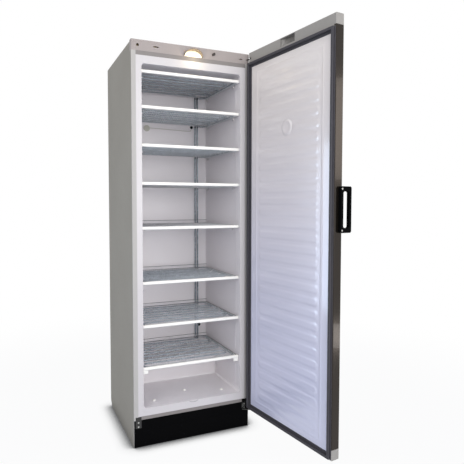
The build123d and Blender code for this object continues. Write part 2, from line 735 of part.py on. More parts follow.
shelf_route = [(riser_x, RISER_Y - TUBE_RADIUS - SEAT_GAP)]
shelf_route += arc_points((riser_x - bend_radius, run_last + bend_radius), bend_radius, 0, -QUARTER_TURN)
shelf_route += serpentine(RUN_COUNT, RUN_PITCH, RUN_FIRST, left_bends, right_bends)
shelf_route += arc_points(
    (tube_half - bend_radius, RUN_FIRST + bend_radius), bend_radius, -QUARTER_TURN, QUARTER_TURN)
shelf_route += arc_points((tube_half - bend_radius, RISER_Y - bend_radius), bend_radius, 0, QUARTER_TURN)
shelf_route += [(return_x + TUBE_RADIUS + SEAT_GAP, RISER_Y)]

with BuildPart() as shelf_tube:
    with BuildLine() as route:
        Polyline(*shelf_route)
    with BuildSketch(Plane(origin=route.wire() @ 0, x_dir=(1, 0, 0), z_dir=(0, -1, 0))):
        RegularPolygon(TUBE_RADIUS, TUBE_SIDES)
    sweep(path=route.wire(), transition=Transition.RIGHT)

with BuildPart() as shelf_grid:
    with BuildSketch(Plane.XY.offset(tube_flat)):
        grid_face(2 * shelf_half, GRID_FRONT, GRID_BACK, WIRE_COUNT)
    extrude(amount=GRID_THICKNESS)
    for side in (-1, 1):
        with Locations((
            side * (shelf_half - SIDE_BAR_WIDTH / 2),
            (TRIM_FRONT + TRIM_DEPTH + GRID_BACK) / 2,
            tube_flat - SIDE_BAR_DROP / 2,
        )):
            Box(SIDE_BAR_WIDTH, GRID_BACK - TRIM_FRONT - TRIM_DEPTH, SIDE_BAR_DROP)
    bar(-shelf_half, shelf_half, GRID_BACK - WIRE_WIDTH, GRID_BACK, tube_flat, tube_flat + UPSTAND)

# the grid lies on the tube's flats, brazed there: one piece made of two touching solids
for number, level in enumerate(shelf_levels, start=1):
    name = f"evaporator_shelf_{number}"
    evaporator_shelf = Compound(label=name, children=[
        shelf_tube.part.moved(Location((0, 0, level))),
        shelf_grid.part.moved(Location((0, 0, level))),
    ])
    export_step(evaporator_shelf, f"parts/{name}.step")

trim_half = cavity_half - TRIM_END_GAP

with BuildPart() as shelf_trims:
    for level in shelf_levels:
        with BuildSketch(Plane.YZ.offset(-trim_half)):
            with Locations((TRIM_FRONT + TRIM_DEPTH / 2, level)):
                Rectangle(TRIM_DEPTH, TRIM_HEIGHT)
            chamfer(vertices().group_by(Axis.X)[0], TRIM_HEIGHT / 6)
            with Locations((TRIM_FRONT + TRIM_DEPTH, level + tube_flat + GRID_THICKNESS / 2)):
                Rectangle(2 * (TRIM_FRONT + TRIM_DEPTH - GRID_FRONT), GRID_THICKNESS, mode=Mode.SUBTRACT)
            with Locations((TRIM_FRONT + TRIM_DEPTH, level - TRIM_HEIGHT / 8)):
                Rectangle(2 * (TRIM_FRONT + TRIM_DEPTH - GRID_FRONT), TRIM_HEIGHT / 2, mode=Mode.SUBTRACT)
        extrude(amount=2 * trim_half)
    lowest = shelf_levels[0] - TRIM_HEIGHT / 2
    for side in (-1, 1):
        with Locations((
            side * (trim_half - BRACKET_WIDTH / 2),
            TRIM_FRONT + TRIM_DEPTH / 2,
            lowest - BRACKET_DROP / 2,
        )):
            Box(BRACKET_WIDTH, TRIM_DEPTH / 3, BRACKET_DROP)
save(shelf_trims, "shelf_trims")

peg_drop = SIDE_BAR_DROP - tube_flat + PEG_RADIUS
peg_length = SHELF_SIDE_GAP + SIDE_BAR_WIDTH - SEAT_GAP

with BuildPart() as shelf_pegs:
    for side in (-1, 1):
        with BuildSketch(Plane.YZ.offset(side * (cavity_half - peg_length / 2))):
            for level in shelf_levels:
                with Locations(*[(row, level - peg_drop) for row in PEG_ROWS]):
                    RegularPolygon(PEG_RADIUS, 6, major_radius=False)
        extrude(amount=peg_length / 2, both=True)
save(shelf_pegs, "shelf_pegs")

with BuildPart() as riser_tubes:
    for riser in (riser_x, return_x):
        foot = shelf_levels[0] - RISER_PITCH
        with BuildLine() as riser_route:
            Polyline(
                (riser, CAVITY_DEPTH, foot),
                (riser, RISER_Y, foot),
                (riser, RISER_Y, shelf_levels[-1] + TUBE_RADIUS),
            )
        with BuildSketch(Plane(origin=riser_route.wire() @ 0, x_dir=(1, 0, 0), z_dir=(0, -1, 0))):
            RegularPolygon(TUBE_RADIUS, 2 * TUBE_SIDES)
        sweep(path=riser_route.wire(), transition=Transition.RIGHT)
save(riser_tubes, "riser_tubes")

# ---------------------------------------------------------------- sensor and plugs

sensor_x = SENSOR_FROM_WALL - cavity_half
sensor_z = cavity_top - SENSOR_DROP
upper_plug = (cavity_half - UPPER_PLUG_FROM_WALL, cavity_top - UPPER_PLUG_DROP)
lower_plug = (cavity_half - LOWER_PLUG_FROM_WALL, CAVITY_FLOOR + LOWER_PLUG_RISE)

with BuildPart() as sensor_disc:
    with BuildSketch(Plane.XZ.offset(-CAVITY_DEPTH)):
        with Locations((sensor_x, sensor_z)):
            RegularPolygon(SENSOR_RADIUS, SENSOR_SIDES)
    extrude(amount=SENSOR_THICKNESS)
    chamfer(edges().group_by(Axis.Y)[0], SENSOR_THICKNESS / 3)
save(sensor_disc, "sensor_disc")

lead_y = CAVITY_DEPTH - PLUG_HEIGHT / 2

with BuildPart() as sensor_lead:
    with BuildLine(Plane.XZ.offset(-lead_y)) as lead_route:
        Polyline(
            (sensor_x + SENSOR_RADIUS, sensor_z + LEAD_SAG),
            (sensor_x + LEAD_RUN, sensor_z),
            (upper_plug[0] - LEAD_TURN, sensor_z - LEAD_SAG),
            (upper_plug[0] - LEAD_TURN / 4, sensor_z),
            (upper_plug[0], upper_plug[1] - PLUG_RADIUS - LEAD_RADIUS),
        )
    with BuildSketch(Plane(origin=lead_route.wire() @ 0, z_dir=lead_route.wire() % 0)):
        RegularPolygon(LEAD_RADIUS, TUBE_SIDES)
    sweep(path=lead_route.wire(), transition=Transition.RIGHT)
save(sensor_lead, "sensor_lead")

with BuildPart() as liner_plugs:
    with BuildSketch(Plane.XZ.offset(-CAVITY_DEPTH)):
        with Locations(upper_plug, lower_plug):
            RegularPolygon(PLUG_RADIUS, PLUG_SIDES)
    extrude(amount=PLUG_HEIGHT)
save(liner_plugs, "liner_plugs")

# ---------------------------------------------------------------- machine compartment

pan_top = PAN_BOTTOM + PAN_SHEET
foot_x = half_width - FOOT_FROM_SIDE
roller_x = half_width - ROLLER_FROM_SIDE
ear_offset = ROLLER_WIDTH / 2 + ROLLER_SIDE_GAP + EAR_SHEET / 2
can_bottom = pan_top + MOUNT_HEIGHT + FOOT_PLATE_SHEET
can_top = can_bottom + COMPRESSOR_HEIGHT
foot_sites = [(-foot_x, FOOT_Y), (foot_x, FOOT_Y)]

with BuildPart() as base_pan:
    bar(-inner_half, inner_half, PAN_FRONT, PAN_BACK, PAN_BOTTOM, PAN_BOTTOM + PAN_FLANGE)
    bar(-inner_half + PAN_SHEET, inner_half - PAN_SHEET, PAN_FRONT + PAN_SHEET, PAN_BACK - PAN_SHEET,
        pan_top, PAN_BOTTOM + PAN_FLANGE, Mode.SUBTRACT)
    for side in (-1, 1):
        for ear in (-1, 1):
            ear_x = side * roller_x + ear * ear_offset
            bar(ear_x - EAR_SHEET / 2, ear_x + EAR_SHEET / 2,
                ROLLER_Y - ROLLER_RADIUS, ROLLER_Y + ROLLER_RADIUS,
                ROLLER_RADIUS - 2 * AXLE_RADIUS, PAN_BOTTOM)
    flat_rods(Plane.YZ.offset(inner_half), [(ROLLER_Y, ROLLER_RADIUS)], AXLE_RADIUS + PIN_CLEARANCE,
        AXLE_SIDES, 2 * inner_half, Mode.SUBTRACT)
    flat_rods(Plane.XY.offset(pan_top + FOOT_NUT_HEIGHT), foot_sites, FOOT_NUT_RADIUS, FOOT_NUT_SIDES,
        FOOT_NUT_HEIGHT)
    rods(Plane.XY.offset(pan_top + FOOT_NUT_HEIGHT), foot_sites, FOOT_STUD_RADIUS + PIN_CLEARANCE,
        FOOT_NUT_HEIGHT + PAN_SHEET, Mode.SUBTRACT)
save(base_pan, "base_pan")

for side, foot_site in zip(("left", "right"), foot_sites):
    with BuildPart() as levelling_foot:
        with BuildSketch():
            with Locations(foot_site):
                RegularPolygon(FOOT_PAD_RADIUS, 12)
        extrude(amount=FOOT_PAD_HEIGHT, taper=FOOT_PAD_TAPER)
        flat_rods(Plane.XY.offset(FOOT_STUD_TOP), [foot_site], FOOT_STUD_RADIUS, FOOT_STUD_SIDES,
            FOOT_STUD_TOP - FOOT_PAD_HEIGHT)
    save(levelling_foot, f"foot_{side}")

with BuildPart() as roller_axles:
    for side in (-1, 1):
        reach = ear_offset + EAR_SHEET / 2
        flat_rods(Plane.YZ.offset(side * roller_x + reach), [(ROLLER_Y, ROLLER_RADIUS)], AXLE_RADIUS,
            AXLE_SIDES, 2 * reach)
save(roller_axles, "roller_axles")

for side, middle in (("left", -roller_x), ("right", roller_x)):
    with BuildPart() as roller:
        with BuildSketch(Plane.YZ.offset(middle - ROLLER_WIDTH / 2)):
            with Locations((ROLLER_Y, ROLLER_RADIUS)):
                RegularPolygon(ROLLER_RADIUS, ROLLER_SIDES)
                RegularPolygon(
                    AXLE_RADIUS + PIN_CLEARANCE, AXLE_SIDES, major_radius=False, mode=Mode.SUBTRACT)
        extrude(amount=ROLLER_WIDTH)
    save(roller, f"roller_{side}")

mount_sites = [
    (COMPRESSOR_X + across * MOUNT_SPAN_X / 2, COMPRESSOR_Y + deep * MOUNT_SPAN_Y / 2)
    for across in (-1, 1) for deep in (-1, 1)
]

with BuildPart() as compressor_mounts:
    flat_rods(Plane.XY.offset(pan_top + MOUNT_HEIGHT), mount_sites, MOUNT_RADIUS, MOUNT_SIDES, MOUNT_HEIGHT)
save(compressor_mounts, "compressor_mounts")

with BuildPart() as compressor:
    flat_rods(Plane.XY.offset(can_top), [(COMPRESSOR_X, COMPRESSOR_Y)], COMPRESSOR_RADIUS,
        COMPRESSOR_SIDES, COMPRESSOR_HEIGHT)
    chamfer(edges().group_by(Axis.Z)[0] + edges().group_by(Axis.Z)[-1], COMPRESSOR_SHOULDER)
    flat_rods(Plane.XY.offset(can_bottom + COMPRESSOR_HEIGHT / 2 + COMPRESSOR_SEAM),
        [(COMPRESSOR_X, COMPRESSOR_Y)], COMPRESSOR_RADIUS + COMPRESSOR_SEAM,
        COMPRESSOR_SIDES, COMPRESSOR_SEAM)
    with Locations((COMPRESSOR_X, COMPRESSOR_Y, can_bottom - FOOT_PLATE_SHEET / 2)):
        Box(MOUNT_SPAN_X + 2 * MOUNT_RADIUS, MOUNT_SPAN_Y + 2 * MOUNT_RADIUS, FOOT_PLATE_SHEET)
save(compressor, "compressor")

relay_right = COMPRESSOR_X - COMPRESSOR_RADIUS - COMPRESSOR_SEAM - SEAT_GAP
relay_bottom = can_bottom + (COMPRESSOR_HEIGHT - RELAY_HEIGHT) / 2

with BuildPart() as relay_cover:
    bar(relay_right - RELAY_DEPTH, relay_right,
        COMPRESSOR_Y - RELAY_WIDTH / 2, COMPRESSOR_Y + RELAY_WIDTH / 2,
        relay_bottom, relay_bottom + RELAY_HEIGHT)
    chamfer(faces().sort_by(Axis.X)[0].edges(), RELAY_DEPTH / 8)
    gland_plane = Plane.XZ.offset(-COMPRESSOR_Y - RELAY_WIDTH / 2)
    with BuildSketch(gland_plane):
        with Locations((relay_right - RELAY_DEPTH / 2, relay_bottom + RELAY_HEIGHT / 3)):
            RegularPolygon(GLAND_RADIUS, MOUNT_SIDES)
    extrude(amount=-GLAND_LENGTH, taper=GLAND_TAPER)
save(relay_cover, "relay_cover")

with BuildPart() as drip_tray:
    with BuildSketch(Plane.XY.offset(can_top)):
        with Locations((COMPRESSOR_X, COMPRESSOR_Y)):
            cut_rectangle(TRAY_LENGTH, TRAY_WIDTH, TRAY_HEIGHT / 3)
    extrude(amount=TRAY_HEIGHT)
    offset(amount=-TRAY_WALL, openings=faces().sort_by(Axis.Z)[-1])
save(drip_tray, "drip_tray")

# ---------------------------------------------------------------- condenser

condenser_y = rear_panel_face + SHEET + CONDENSER_STAND
condenser_half = half_width - CONDENSER_FROM_SIDE
top_run = shell_top - CONDENSER_HEAD
condenser_pitch = (top_run - CONDENSER_BOTTOM) / (CONDENSER_RUNS - 1)
condenser_bend = condenser_pitch / 2
bend_x = condenser_half - condenser_bend
outlet_x = condenser_half + CONDENSER_OUTLET_GAP
discharge_z = can_bottom + COMPRESSOR_HEIGHT / 3
wire_face = condenser_y + CONDENSER_TUBE_RADIUS * cos(pi / TUBE_SIDES)

flat_route = [(outlet_x, CONDENSER_OUTLET_Z)]
flat_route += arc_points(
    (outlet_x - condenser_bend, top_run - condenser_bend), condenser_bend, 0, QUARTER_TURN)
flat_route += serpentine(CONDENSER_RUNS, condenser_pitch, CONDENSER_BOTTOM, -bend_x, bend_x)
flat_route += arc_points(
    (COMPRESSOR_X - condenser_bend, CONDENSER_BOTTOM - condenser_bend),
    condenser_bend, QUARTER_TURN, -QUARTER_TURN,
)
flat_route += [(COMPRESSOR_X, discharge_z)]
condenser_route = [(x, condenser_y, z) for x, z in flat_route]
condenser_route += [(COMPRESSOR_X, COMPRESSOR_Y + COMPRESSOR_RADIUS + SEAT_GAP, discharge_z)]

with BuildPart() as condenser_tube:
    with BuildLine() as route:
        Polyline(*condenser_route)
    with BuildSketch(Plane(origin=route.wire() @ 0, x_dir=(1, 0, 0), z_dir=(0, 0, 1))):
        RegularPolygon(CONDENSER_TUBE_RADIUS, TUBE_SIDES)
    sweep(path=route.wire(), transition=Transition.RIGHT)
    drier_top = CONDENSER_OUTLET_Z + DRIER_LENGTH + CONDENSER_OUTLET_GAP
    flat_rods(Plane.XY.offset(drier_top), [(outlet_x, condenser_y)], DRIER_RADIUS, MOUNT_SIDES, DRIER_LENGTH)

with BuildPart() as condenser_wires:
    with BuildSketch(Plane.XZ.offset(-wire_face)):
        with Locations((0, (CONDENSER_BOTTOM + top_run) / 2)):
            with GridLocations(2 * bend_x / (CONDENSER_WIRES - 1), 0, CONDENSER_WIRES, 1):
                Rectangle(CONDENSER_WIRE, top_run - CONDENSER_BOTTOM + condenser_bend)
    extrude(amount=-CONDENSER_WIRE)
    tab_rows = (CONDENSER_BOTTOM + condenser_bend, top_run - condenser_bend)
    for tab_x in (-bend_x, bend_x):
        for tab_z in tab_rows:
            bar(tab_x - TAB_WIDTH / 2, tab_x + TAB_WIDTH / 2,
                rear_panel_face + SHEET, wire_face + CONDENSER_WIRE,
                tab_z - TAB_HEIGHT / 2, tab_z + TAB_HEIGHT / 2)

condenser = Compound(label="condenser", children=[condenser_tube.part, condenser_wires.part])
export_step(condenser, "parts/condenser.step")

# ---------------------------------------------------------------- hinge

with BuildPart() as hinge_bracket_lower:
    bar(plate_inner, plate_outer, 0, BRACKET_SHEET, BRACKET_PLATE_BOTTOM, BRACKET_PLATE_TOP)
    with BuildSketch(Plane.XY.offset(BRACKET_PLATE_BOTTOM)):
        with Locations((pivot_x, pivot_y)):
            RegularPolygon(COLLAR_RADIUS, PIN_SIDES)
        with Locations((plate_middle, -BRACKET_SHEET / 2)):
            Rectangle(BRACKET_PLATE_WIDTH, BRACKET_SHEET)
        make_hull()
        with Locations((pivot_x, pivot_y)):
            RegularPolygon(PIN_RADIUS, PIN_SIDES, mode=Mode.SUBTRACT)
    extrude(amount=BRACKET_SHEET)
    screw_holes(Plane.XZ, plate_screws[1], BRACKET_SHEET)
save(hinge_bracket_lower, "hinge_bracket_lower")

with BuildPart() as reversing_plate:
    bar(-plate_outer, -plate_inner, 0, BRACKET_SHEET, BRACKET_PLATE_BOTTOM, BRACKET_PLATE_TOP)
    screw_holes(Plane.XZ, plate_screws[-1], BRACKET_SHEET)
save(reversing_plate, "reversing_plate")

with BuildPart() as hinge_bracket_upper:
    bar(upper_arm_inner, upper_arm_outer, -FASCIA_WALL, FASCIA_DEPTH, upper_arm_z, upper_arm_top)
    bar(upper_arm_inner, upper_arm_outer, FASCIA_DEPTH - UPPER_ARM_SHEET, FASCIA_DEPTH,
        fascia_bottom + FASCIA_WALL, FASCIA_TOP - 2 * FASCIA_WALL)
    with BuildSketch(Plane.XY.offset(upper_arm_z)):
        with Locations((pivot_x, pivot_y)):
            RegularPolygon(COLLAR_RADIUS, PIN_SIDES)
        with Locations((upper_arm_middle, -FASCIA_WALL)):
            Rectangle(UPPER_ARM_WIDTH, FASCIA_WALL)
        make_hull()
        with Locations((pivot_x, pivot_y)):
            RegularPolygon(PIN_RADIUS, PIN_SIDES, mode=Mode.SUBTRACT)
    extrude(amount=UPPER_ARM_SHEET)
    screw_holes(Plane.XZ.offset(UPPER_ARM_SHEET - FASCIA_DEPTH), arm_screws, UPPER_ARM_SHEET)
save(hinge_bracket_upper, "hinge_bracket_upper")

arm_top = BRACKET_PLATE_BOTTOM + BRACKET_SHEET

pin_site = [(pivot_x, pivot_y)]
lower_pin_top = DOOR_BOTTOM + PIN_ENGAGEMENT

with BuildPart() as hinge_pins:
    flat_rods(Plane.XY.offset(lower_pin_top), pin_site, PIN_RADIUS, PIN_SIDES,
        lower_pin_top - BRACKET_PLATE_BOTTOM)
    flat_rods(Plane.XY.offset(DOOR_BOTTOM), pin_site, COLLAR_RADIUS, PIN_SIDES, DOOR_BOTTOM - arm_top)
    flat_rods(Plane.XY.offset(upper_arm_top + PIN_ENGAGEMENT), pin_site, PIN_RADIUS, PIN_SIDES,
        UPPER_ARM_SHEET + PIN_ENGAGEMENT)
save(hinge_pins, "hinge_pins")

with BuildPart() as hinge_screws:
    for sites in plate_screws.values():
        screws(Plane.XZ, sites)
    screws(Plane.XZ.offset(UPPER_ARM_SHEET - FASCIA_DEPTH), arm_screws)
save(hinge_screws, "hinge_screws")

# ---------------------------------------------------------------- door

door_edge_face = DOOR_EDGE.offset(DOOR_WIDTH)
panel_bottom = DOOR_BOTTOM + GASKET_BOTTOM_RISE + GASKET_BASE / 2
panel_top = door_top - GASKET_TOP_DROP - GASKET_BASE / 2
rib_length = DOOR_WIDTH - RIB_FROM_HINGE - RIB_FROM_FREE_EDGE
rib_pitch = (panel_top - panel_bottom - 2 * RIB_MARGIN - RIB_WIDTH) / (RIB_COUNT - 1)
handle_screw_sites = [
    (HANDLE_INNER + HANDLE_BASE_BAR / 2, z)
    for z in (HANDLE_BOTTOM + HANDLE_END_BAR / 2, HANDLE_TOP - HANDLE_END_BAR / 2)
]


def door_outline(inset, mode=Mode.ADD):
    """The door's plan with its corners cut off, set in by so much, in the current sketch."""
    with Locations((door_middle, DOOR_THICKNESS / 2)):
        cut_rectangle(DOOR_WIDTH - 2 * inset, DOOR_THICKNESS - 2 * inset, DOOR_CORNER, mode)


with BuildPart() as door_skin:
    with BuildSketch(DOOR_PLAN.offset(skin_bottom)):
        door_outline(0)
        door_outline(SHEET, Mode.SUBTRACT)
        with Locations((door_middle, 0)):
            Rectangle(DOOR_WIDTH - 2 * SKIN_LIP, 2 * PANEL_SHEET, mode=Mode.SUBTRACT)
    extrude(amount=skin_top - skin_bottom)
    shank_holes(door_edge_face, handle_screw_sites, SHEET)
save(door_skin, "door_skin")

with BuildPart() as door_foam:
    with BuildSketch(DOOR_PLAN.offset(skin_bottom)):
        door_outline(SHEET)
        with Locations((door_middle, 0)):
            Rectangle(DOOR_WIDTH - 2 * SKIN_LIP, 2 * PANEL_SHEET, mode=Mode.SUBTRACT)
    extrude(amount=skin_top - skin_bottom)
    shank_holes(door_edge_face, handle_screw_sites, SCREW_LENGTH)
save(door_foam, "door_foam")

with BuildPart() as door_panel:
    with BuildSketch(DOOR_FACE.offset(-PANEL_SHEET)):
        with Locations((door_middle, (panel_bottom + panel_top) / 2)):
            Rectangle(DOOR_WIDTH - 2 * SKIN_LIP, panel_top - panel_bottom)
    extrude(amount=PANEL_SHEET)
    with BuildSketch(DOOR_FACE):
        with Locations((RIB_FROM_HINGE + rib_length / 2, (panel_bottom + panel_top) / 2)):
            with GridLocations(0, rib_pitch, 1, RIB_COUNT):
                Rectangle(rib_length, RIB_WIDTH)
        chamfer(vertices(), RIB_WIDTH / 3)
    extrude(amount=RIB_RISE)
    with BuildSketch(DOOR_FACE):
        with Locations((door_middle, door_top - ROUND_BOSS_DROP)):
            RegularPolygon(ROUND_BOSS_RADIUS, ROUND_BOSS_SIDES)
    extrude(amount=ROUND_BOSS_RISE)
save(door_panel, "door_panel")


def gasket_ring(inset, width, start, height):
    """One layer of the gasket's section, right round the door's inner face."""
    foot = DOOR_BOTTOM + GASKET_BOTTOM_RISE - GASKET_EDGE
    head = door_top - GASKET_TOP_DROP + GASKET_EDGE
    with BuildSketch(DOOR_FACE.offset(start)) as layer:
        with Locations((door_middle, (foot + head) / 2)):
            Rectangle(DOOR_WIDTH - 2 * inset, head - foot - 2 * inset)
            Rectangle(
                DOOR_WIDTH - 2 * (inset + width), head - foot - 2 * (inset + width), mode=Mode.SUBTRACT)
    extrude(layer.sketch, amount=height)


gasket_height = DOOR_GAP - GASKET_CLEARANCE
neck_height = gasket_height - GASKET_BASE_HEIGHT - GASKET_MAGNET_HEIGHT
neck_edge = GASKET_CREST_EDGE + (GASKET_CREST - GASKET_NECK) / 2

with BuildPart() as door_gasket:
    gasket_ring(GASKET_EDGE, GASKET_BASE, 0, GASKET_BASE_HEIGHT)
    gasket_ring(neck_edge, GASKET_NECK, GASKET_BASE_HEIGHT, neck_height)
    gasket_ring(GASKET_CREST_EDGE, GASKET_CREST, gasket_height - GASKET_MAGNET_HEIGHT, GASKET_MAGNET_HEIGHT)
save(door_gasket, "door_gasket")


def cap_block(bottom):
    """The rounded block of a door cap, from its underside."""
    with BuildSketch(DOOR_PLAN.offset(bottom)) as plan:
        door_outline(0)
    extrude(plan.sketch, amount=CAP_HEIGHT)


def pin_bore(top, depth):
    """The hinge pin's bore down through a door cap."""
    rods(DOOR_PLAN.offset(top), [(PIVOT_FROM_EDGE, PIVOT_FROM_FACE)], PIN_RADIUS + PIN_CLEARANCE, depth,
        Mode.SUBTRACT)


recess_floor = door_top - RECESS_DROP
recess_top = door_top - RECESS_ROOF
pocket_bottom = upper_arm_z - POCKET_BELOW_ARM

with BuildPart() as door_top_cap:
    cap_block(skin_top)
    chamfer(faces().sort_by(Axis.Z)[-1].edges(), CAP_EDGE)
    door_bar(SKIN_LIP, DOOR_WIDTH - SKIN_LIP, 0, PANEL_SHEET, panel_top, skin_top)
    with BuildSketch(DOOR_PLAN.offset(recess_floor)):
        with Locations((door_middle, 0)):
            Ellipse(RECESS_HALF_WIDTH, RECESS_DEPTH)
    extrude(amount=recess_top - recess_floor, mode=Mode.SUBTRACT)
    door_bar(-SEAT_GAP, POCKET_REACH, -SEAT_GAP, POCKET_REACH, pocket_bottom, pocket_bottom + POCKET_HEIGHT,
        Mode.SUBTRACT)
    upper_pin_top = upper_arm_top + PIN_ENGAGEMENT
    pin_bore(upper_pin_top + BORE_END_GAP, upper_pin_top + BORE_END_GAP - pocket_bottom)
save(door_top_cap, "door_top_cap")

with BuildPart() as door_bottom_cap:
    cap_block(DOOR_BOTTOM)
    chamfer(faces().sort_by(Axis.Z)[0].edges(), CAP_EDGE)
    door_bar(SKIN_LIP, DOOR_WIDTH - SKIN_LIP, 0, PANEL_SHEET, panel_bottom, skin_bottom, Mode.SUBTRACT)
    pin_bore(DOOR_BOTTOM + PIN_ENGAGEMENT + BORE_END_GAP, PIN_ENGAGEMENT + BORE_END_GAP)
save(door_bottom_cap, "door_bottom_cap")

lining_across = RECESS_HALF_WIDTH - SEAT_GAP
lining_deep = RECESS_DEPTH - SEAT_GAP

with BuildPart() as lamp_recess:
    with BuildSketch(DOOR_PLAN.offset(recess_floor)):
        with Locations((door_middle, 0)):
            Ellipse(lining_across, lining_deep)
            Ellipse(lining_across - RECESS_SHEET, lining_deep - RECESS_SHEET, mode=Mode.SUBTRACT)
            with Locations((0, -RECESS_DEPTH / 2)):
                Rectangle(2 * RECESS_HALF_WIDTH, RECESS_DEPTH, mode=Mode.SUBTRACT)
    extrude(amount=recess_top - SEAT_GAP - recess_floor)
save(lamp_recess, "lamp_recess")

# ---------------------------------------------------------------- handle

handle_middle = (HANDLE_BOTTOM + HANDLE_TOP) / 2
slot_inner = HANDLE_INNER + HANDLE_BASE_BAR
slot_outer = HANDLE_OUTER - HANDLE_GRIP_BAR
handle_face = DOOR_EDGE.offset(DOOR_WIDTH + HANDLE_STAND)

with BuildPart() as door_handle:
    with BuildSketch(door_edge_face):
        with Locations(((HANDLE_INNER + HANDLE_OUTER) / 2, handle_middle)):
            cut_rectangle(HANDLE_OUTER - HANDLE_INNER, HANDLE_TOP - HANDLE_BOTTOM, HANDLE_CORNER)
        with Locations(((slot_inner + slot_outer) / 2, handle_middle)):
            cut_rectangle(slot_outer - slot_inner, HANDLE_TOP - HANDLE_BOTTOM - 2 * HANDLE_END_BAR,
                HANDLE_CORNER, Mode.SUBTRACT)
    extrude(amount=HANDLE_STAND)
    front_face = faces().filter_by(DOOR_EDGE).sort_by(Axis(door_corner, along))[-1]
    chamfer(front_face.outer_wire().edges(), HANDLE_EDGE_CHAMFER)
    screw_holes(handle_face, handle_screw_sites, HANDLE_STAND)
save(door_handle, "door_handle")

with BuildPart() as handle_screws:
    screws(handle_face, handle_screw_sites)
save(handle_screws, "handle_screws")
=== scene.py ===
import json
import math

import bmesh
import bpy
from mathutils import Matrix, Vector


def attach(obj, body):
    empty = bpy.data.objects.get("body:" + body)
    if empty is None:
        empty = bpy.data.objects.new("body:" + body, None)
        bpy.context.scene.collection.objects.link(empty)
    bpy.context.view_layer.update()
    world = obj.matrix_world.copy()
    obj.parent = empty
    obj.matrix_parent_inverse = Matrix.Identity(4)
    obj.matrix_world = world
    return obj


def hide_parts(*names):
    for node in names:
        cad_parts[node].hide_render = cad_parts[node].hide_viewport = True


# An upright freezer with evaporator shelves and its door open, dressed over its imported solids.
# Metres; X to the right, Y from the cabinet's front face to its back, Z up from the floor.

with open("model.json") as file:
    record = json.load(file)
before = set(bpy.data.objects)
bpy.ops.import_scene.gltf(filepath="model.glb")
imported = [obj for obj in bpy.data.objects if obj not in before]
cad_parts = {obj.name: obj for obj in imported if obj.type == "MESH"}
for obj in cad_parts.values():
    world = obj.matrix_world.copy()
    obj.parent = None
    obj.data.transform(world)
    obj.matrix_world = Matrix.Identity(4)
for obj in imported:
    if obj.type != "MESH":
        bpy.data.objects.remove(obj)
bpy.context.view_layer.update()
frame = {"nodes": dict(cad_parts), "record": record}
nodes = frame["nodes"]

MM = 0.001

# ---------------------------------------------------------------- values and trees


def feed(socket, term):
    """Gives a node's socket a link, a number, a vector or a colour."""
    term = getattr(term, "socket", term)
    if isinstance(term, bpy.types.NodeSocket):
        socket.id_data.links.new(term, socket)
    elif socket.type == "RGBA":
        socket.default_value = (*term, 1.0)
    else:
        socket.default_value = term


class Value:
    """A socket that carries a number. Python's operators on it add Math nodes."""

    def __init__(self, socket):
        self.socket = socket

    def worked(self, operation, *terms):
        node = self.socket.id_data.nodes.new("ShaderNodeMath")
        node.operation = operation
        for socket, term in zip(node.inputs, terms):
            feed(socket, term)
        return Value(node.outputs[0])

    def __add__(self, other):
        return self.worked("ADD", self, other)

    def __sub__(self, other):
        return self.worked("SUBTRACT", self, other)

    def __rsub__(self, other):
        return self.worked("SUBTRACT", other, self)

    def __mul__(self, other):
        return self.worked("MULTIPLY", self, other)

    def or_more(self, other):
        """The greater of two numbers."""
        return self.worked("MAXIMUM", self, other)

    __radd__ = __add__
    __rmul__ = __mul__


class Tree:
    """A node tree that is built up one node at a time."""

    def __init__(self, tree):
        self.tree = tree

    def node(self, kind, settings=(), inputs=()):
        """Adds a node: its settings first, then its sockets by name or number."""
        made = self.tree.nodes.new(kind)
        for name, value in dict(settings).items():
            setattr(made, name, value)
        for name, value in dict(inputs).items():
            feed(made.inputs[name], value)
        return made


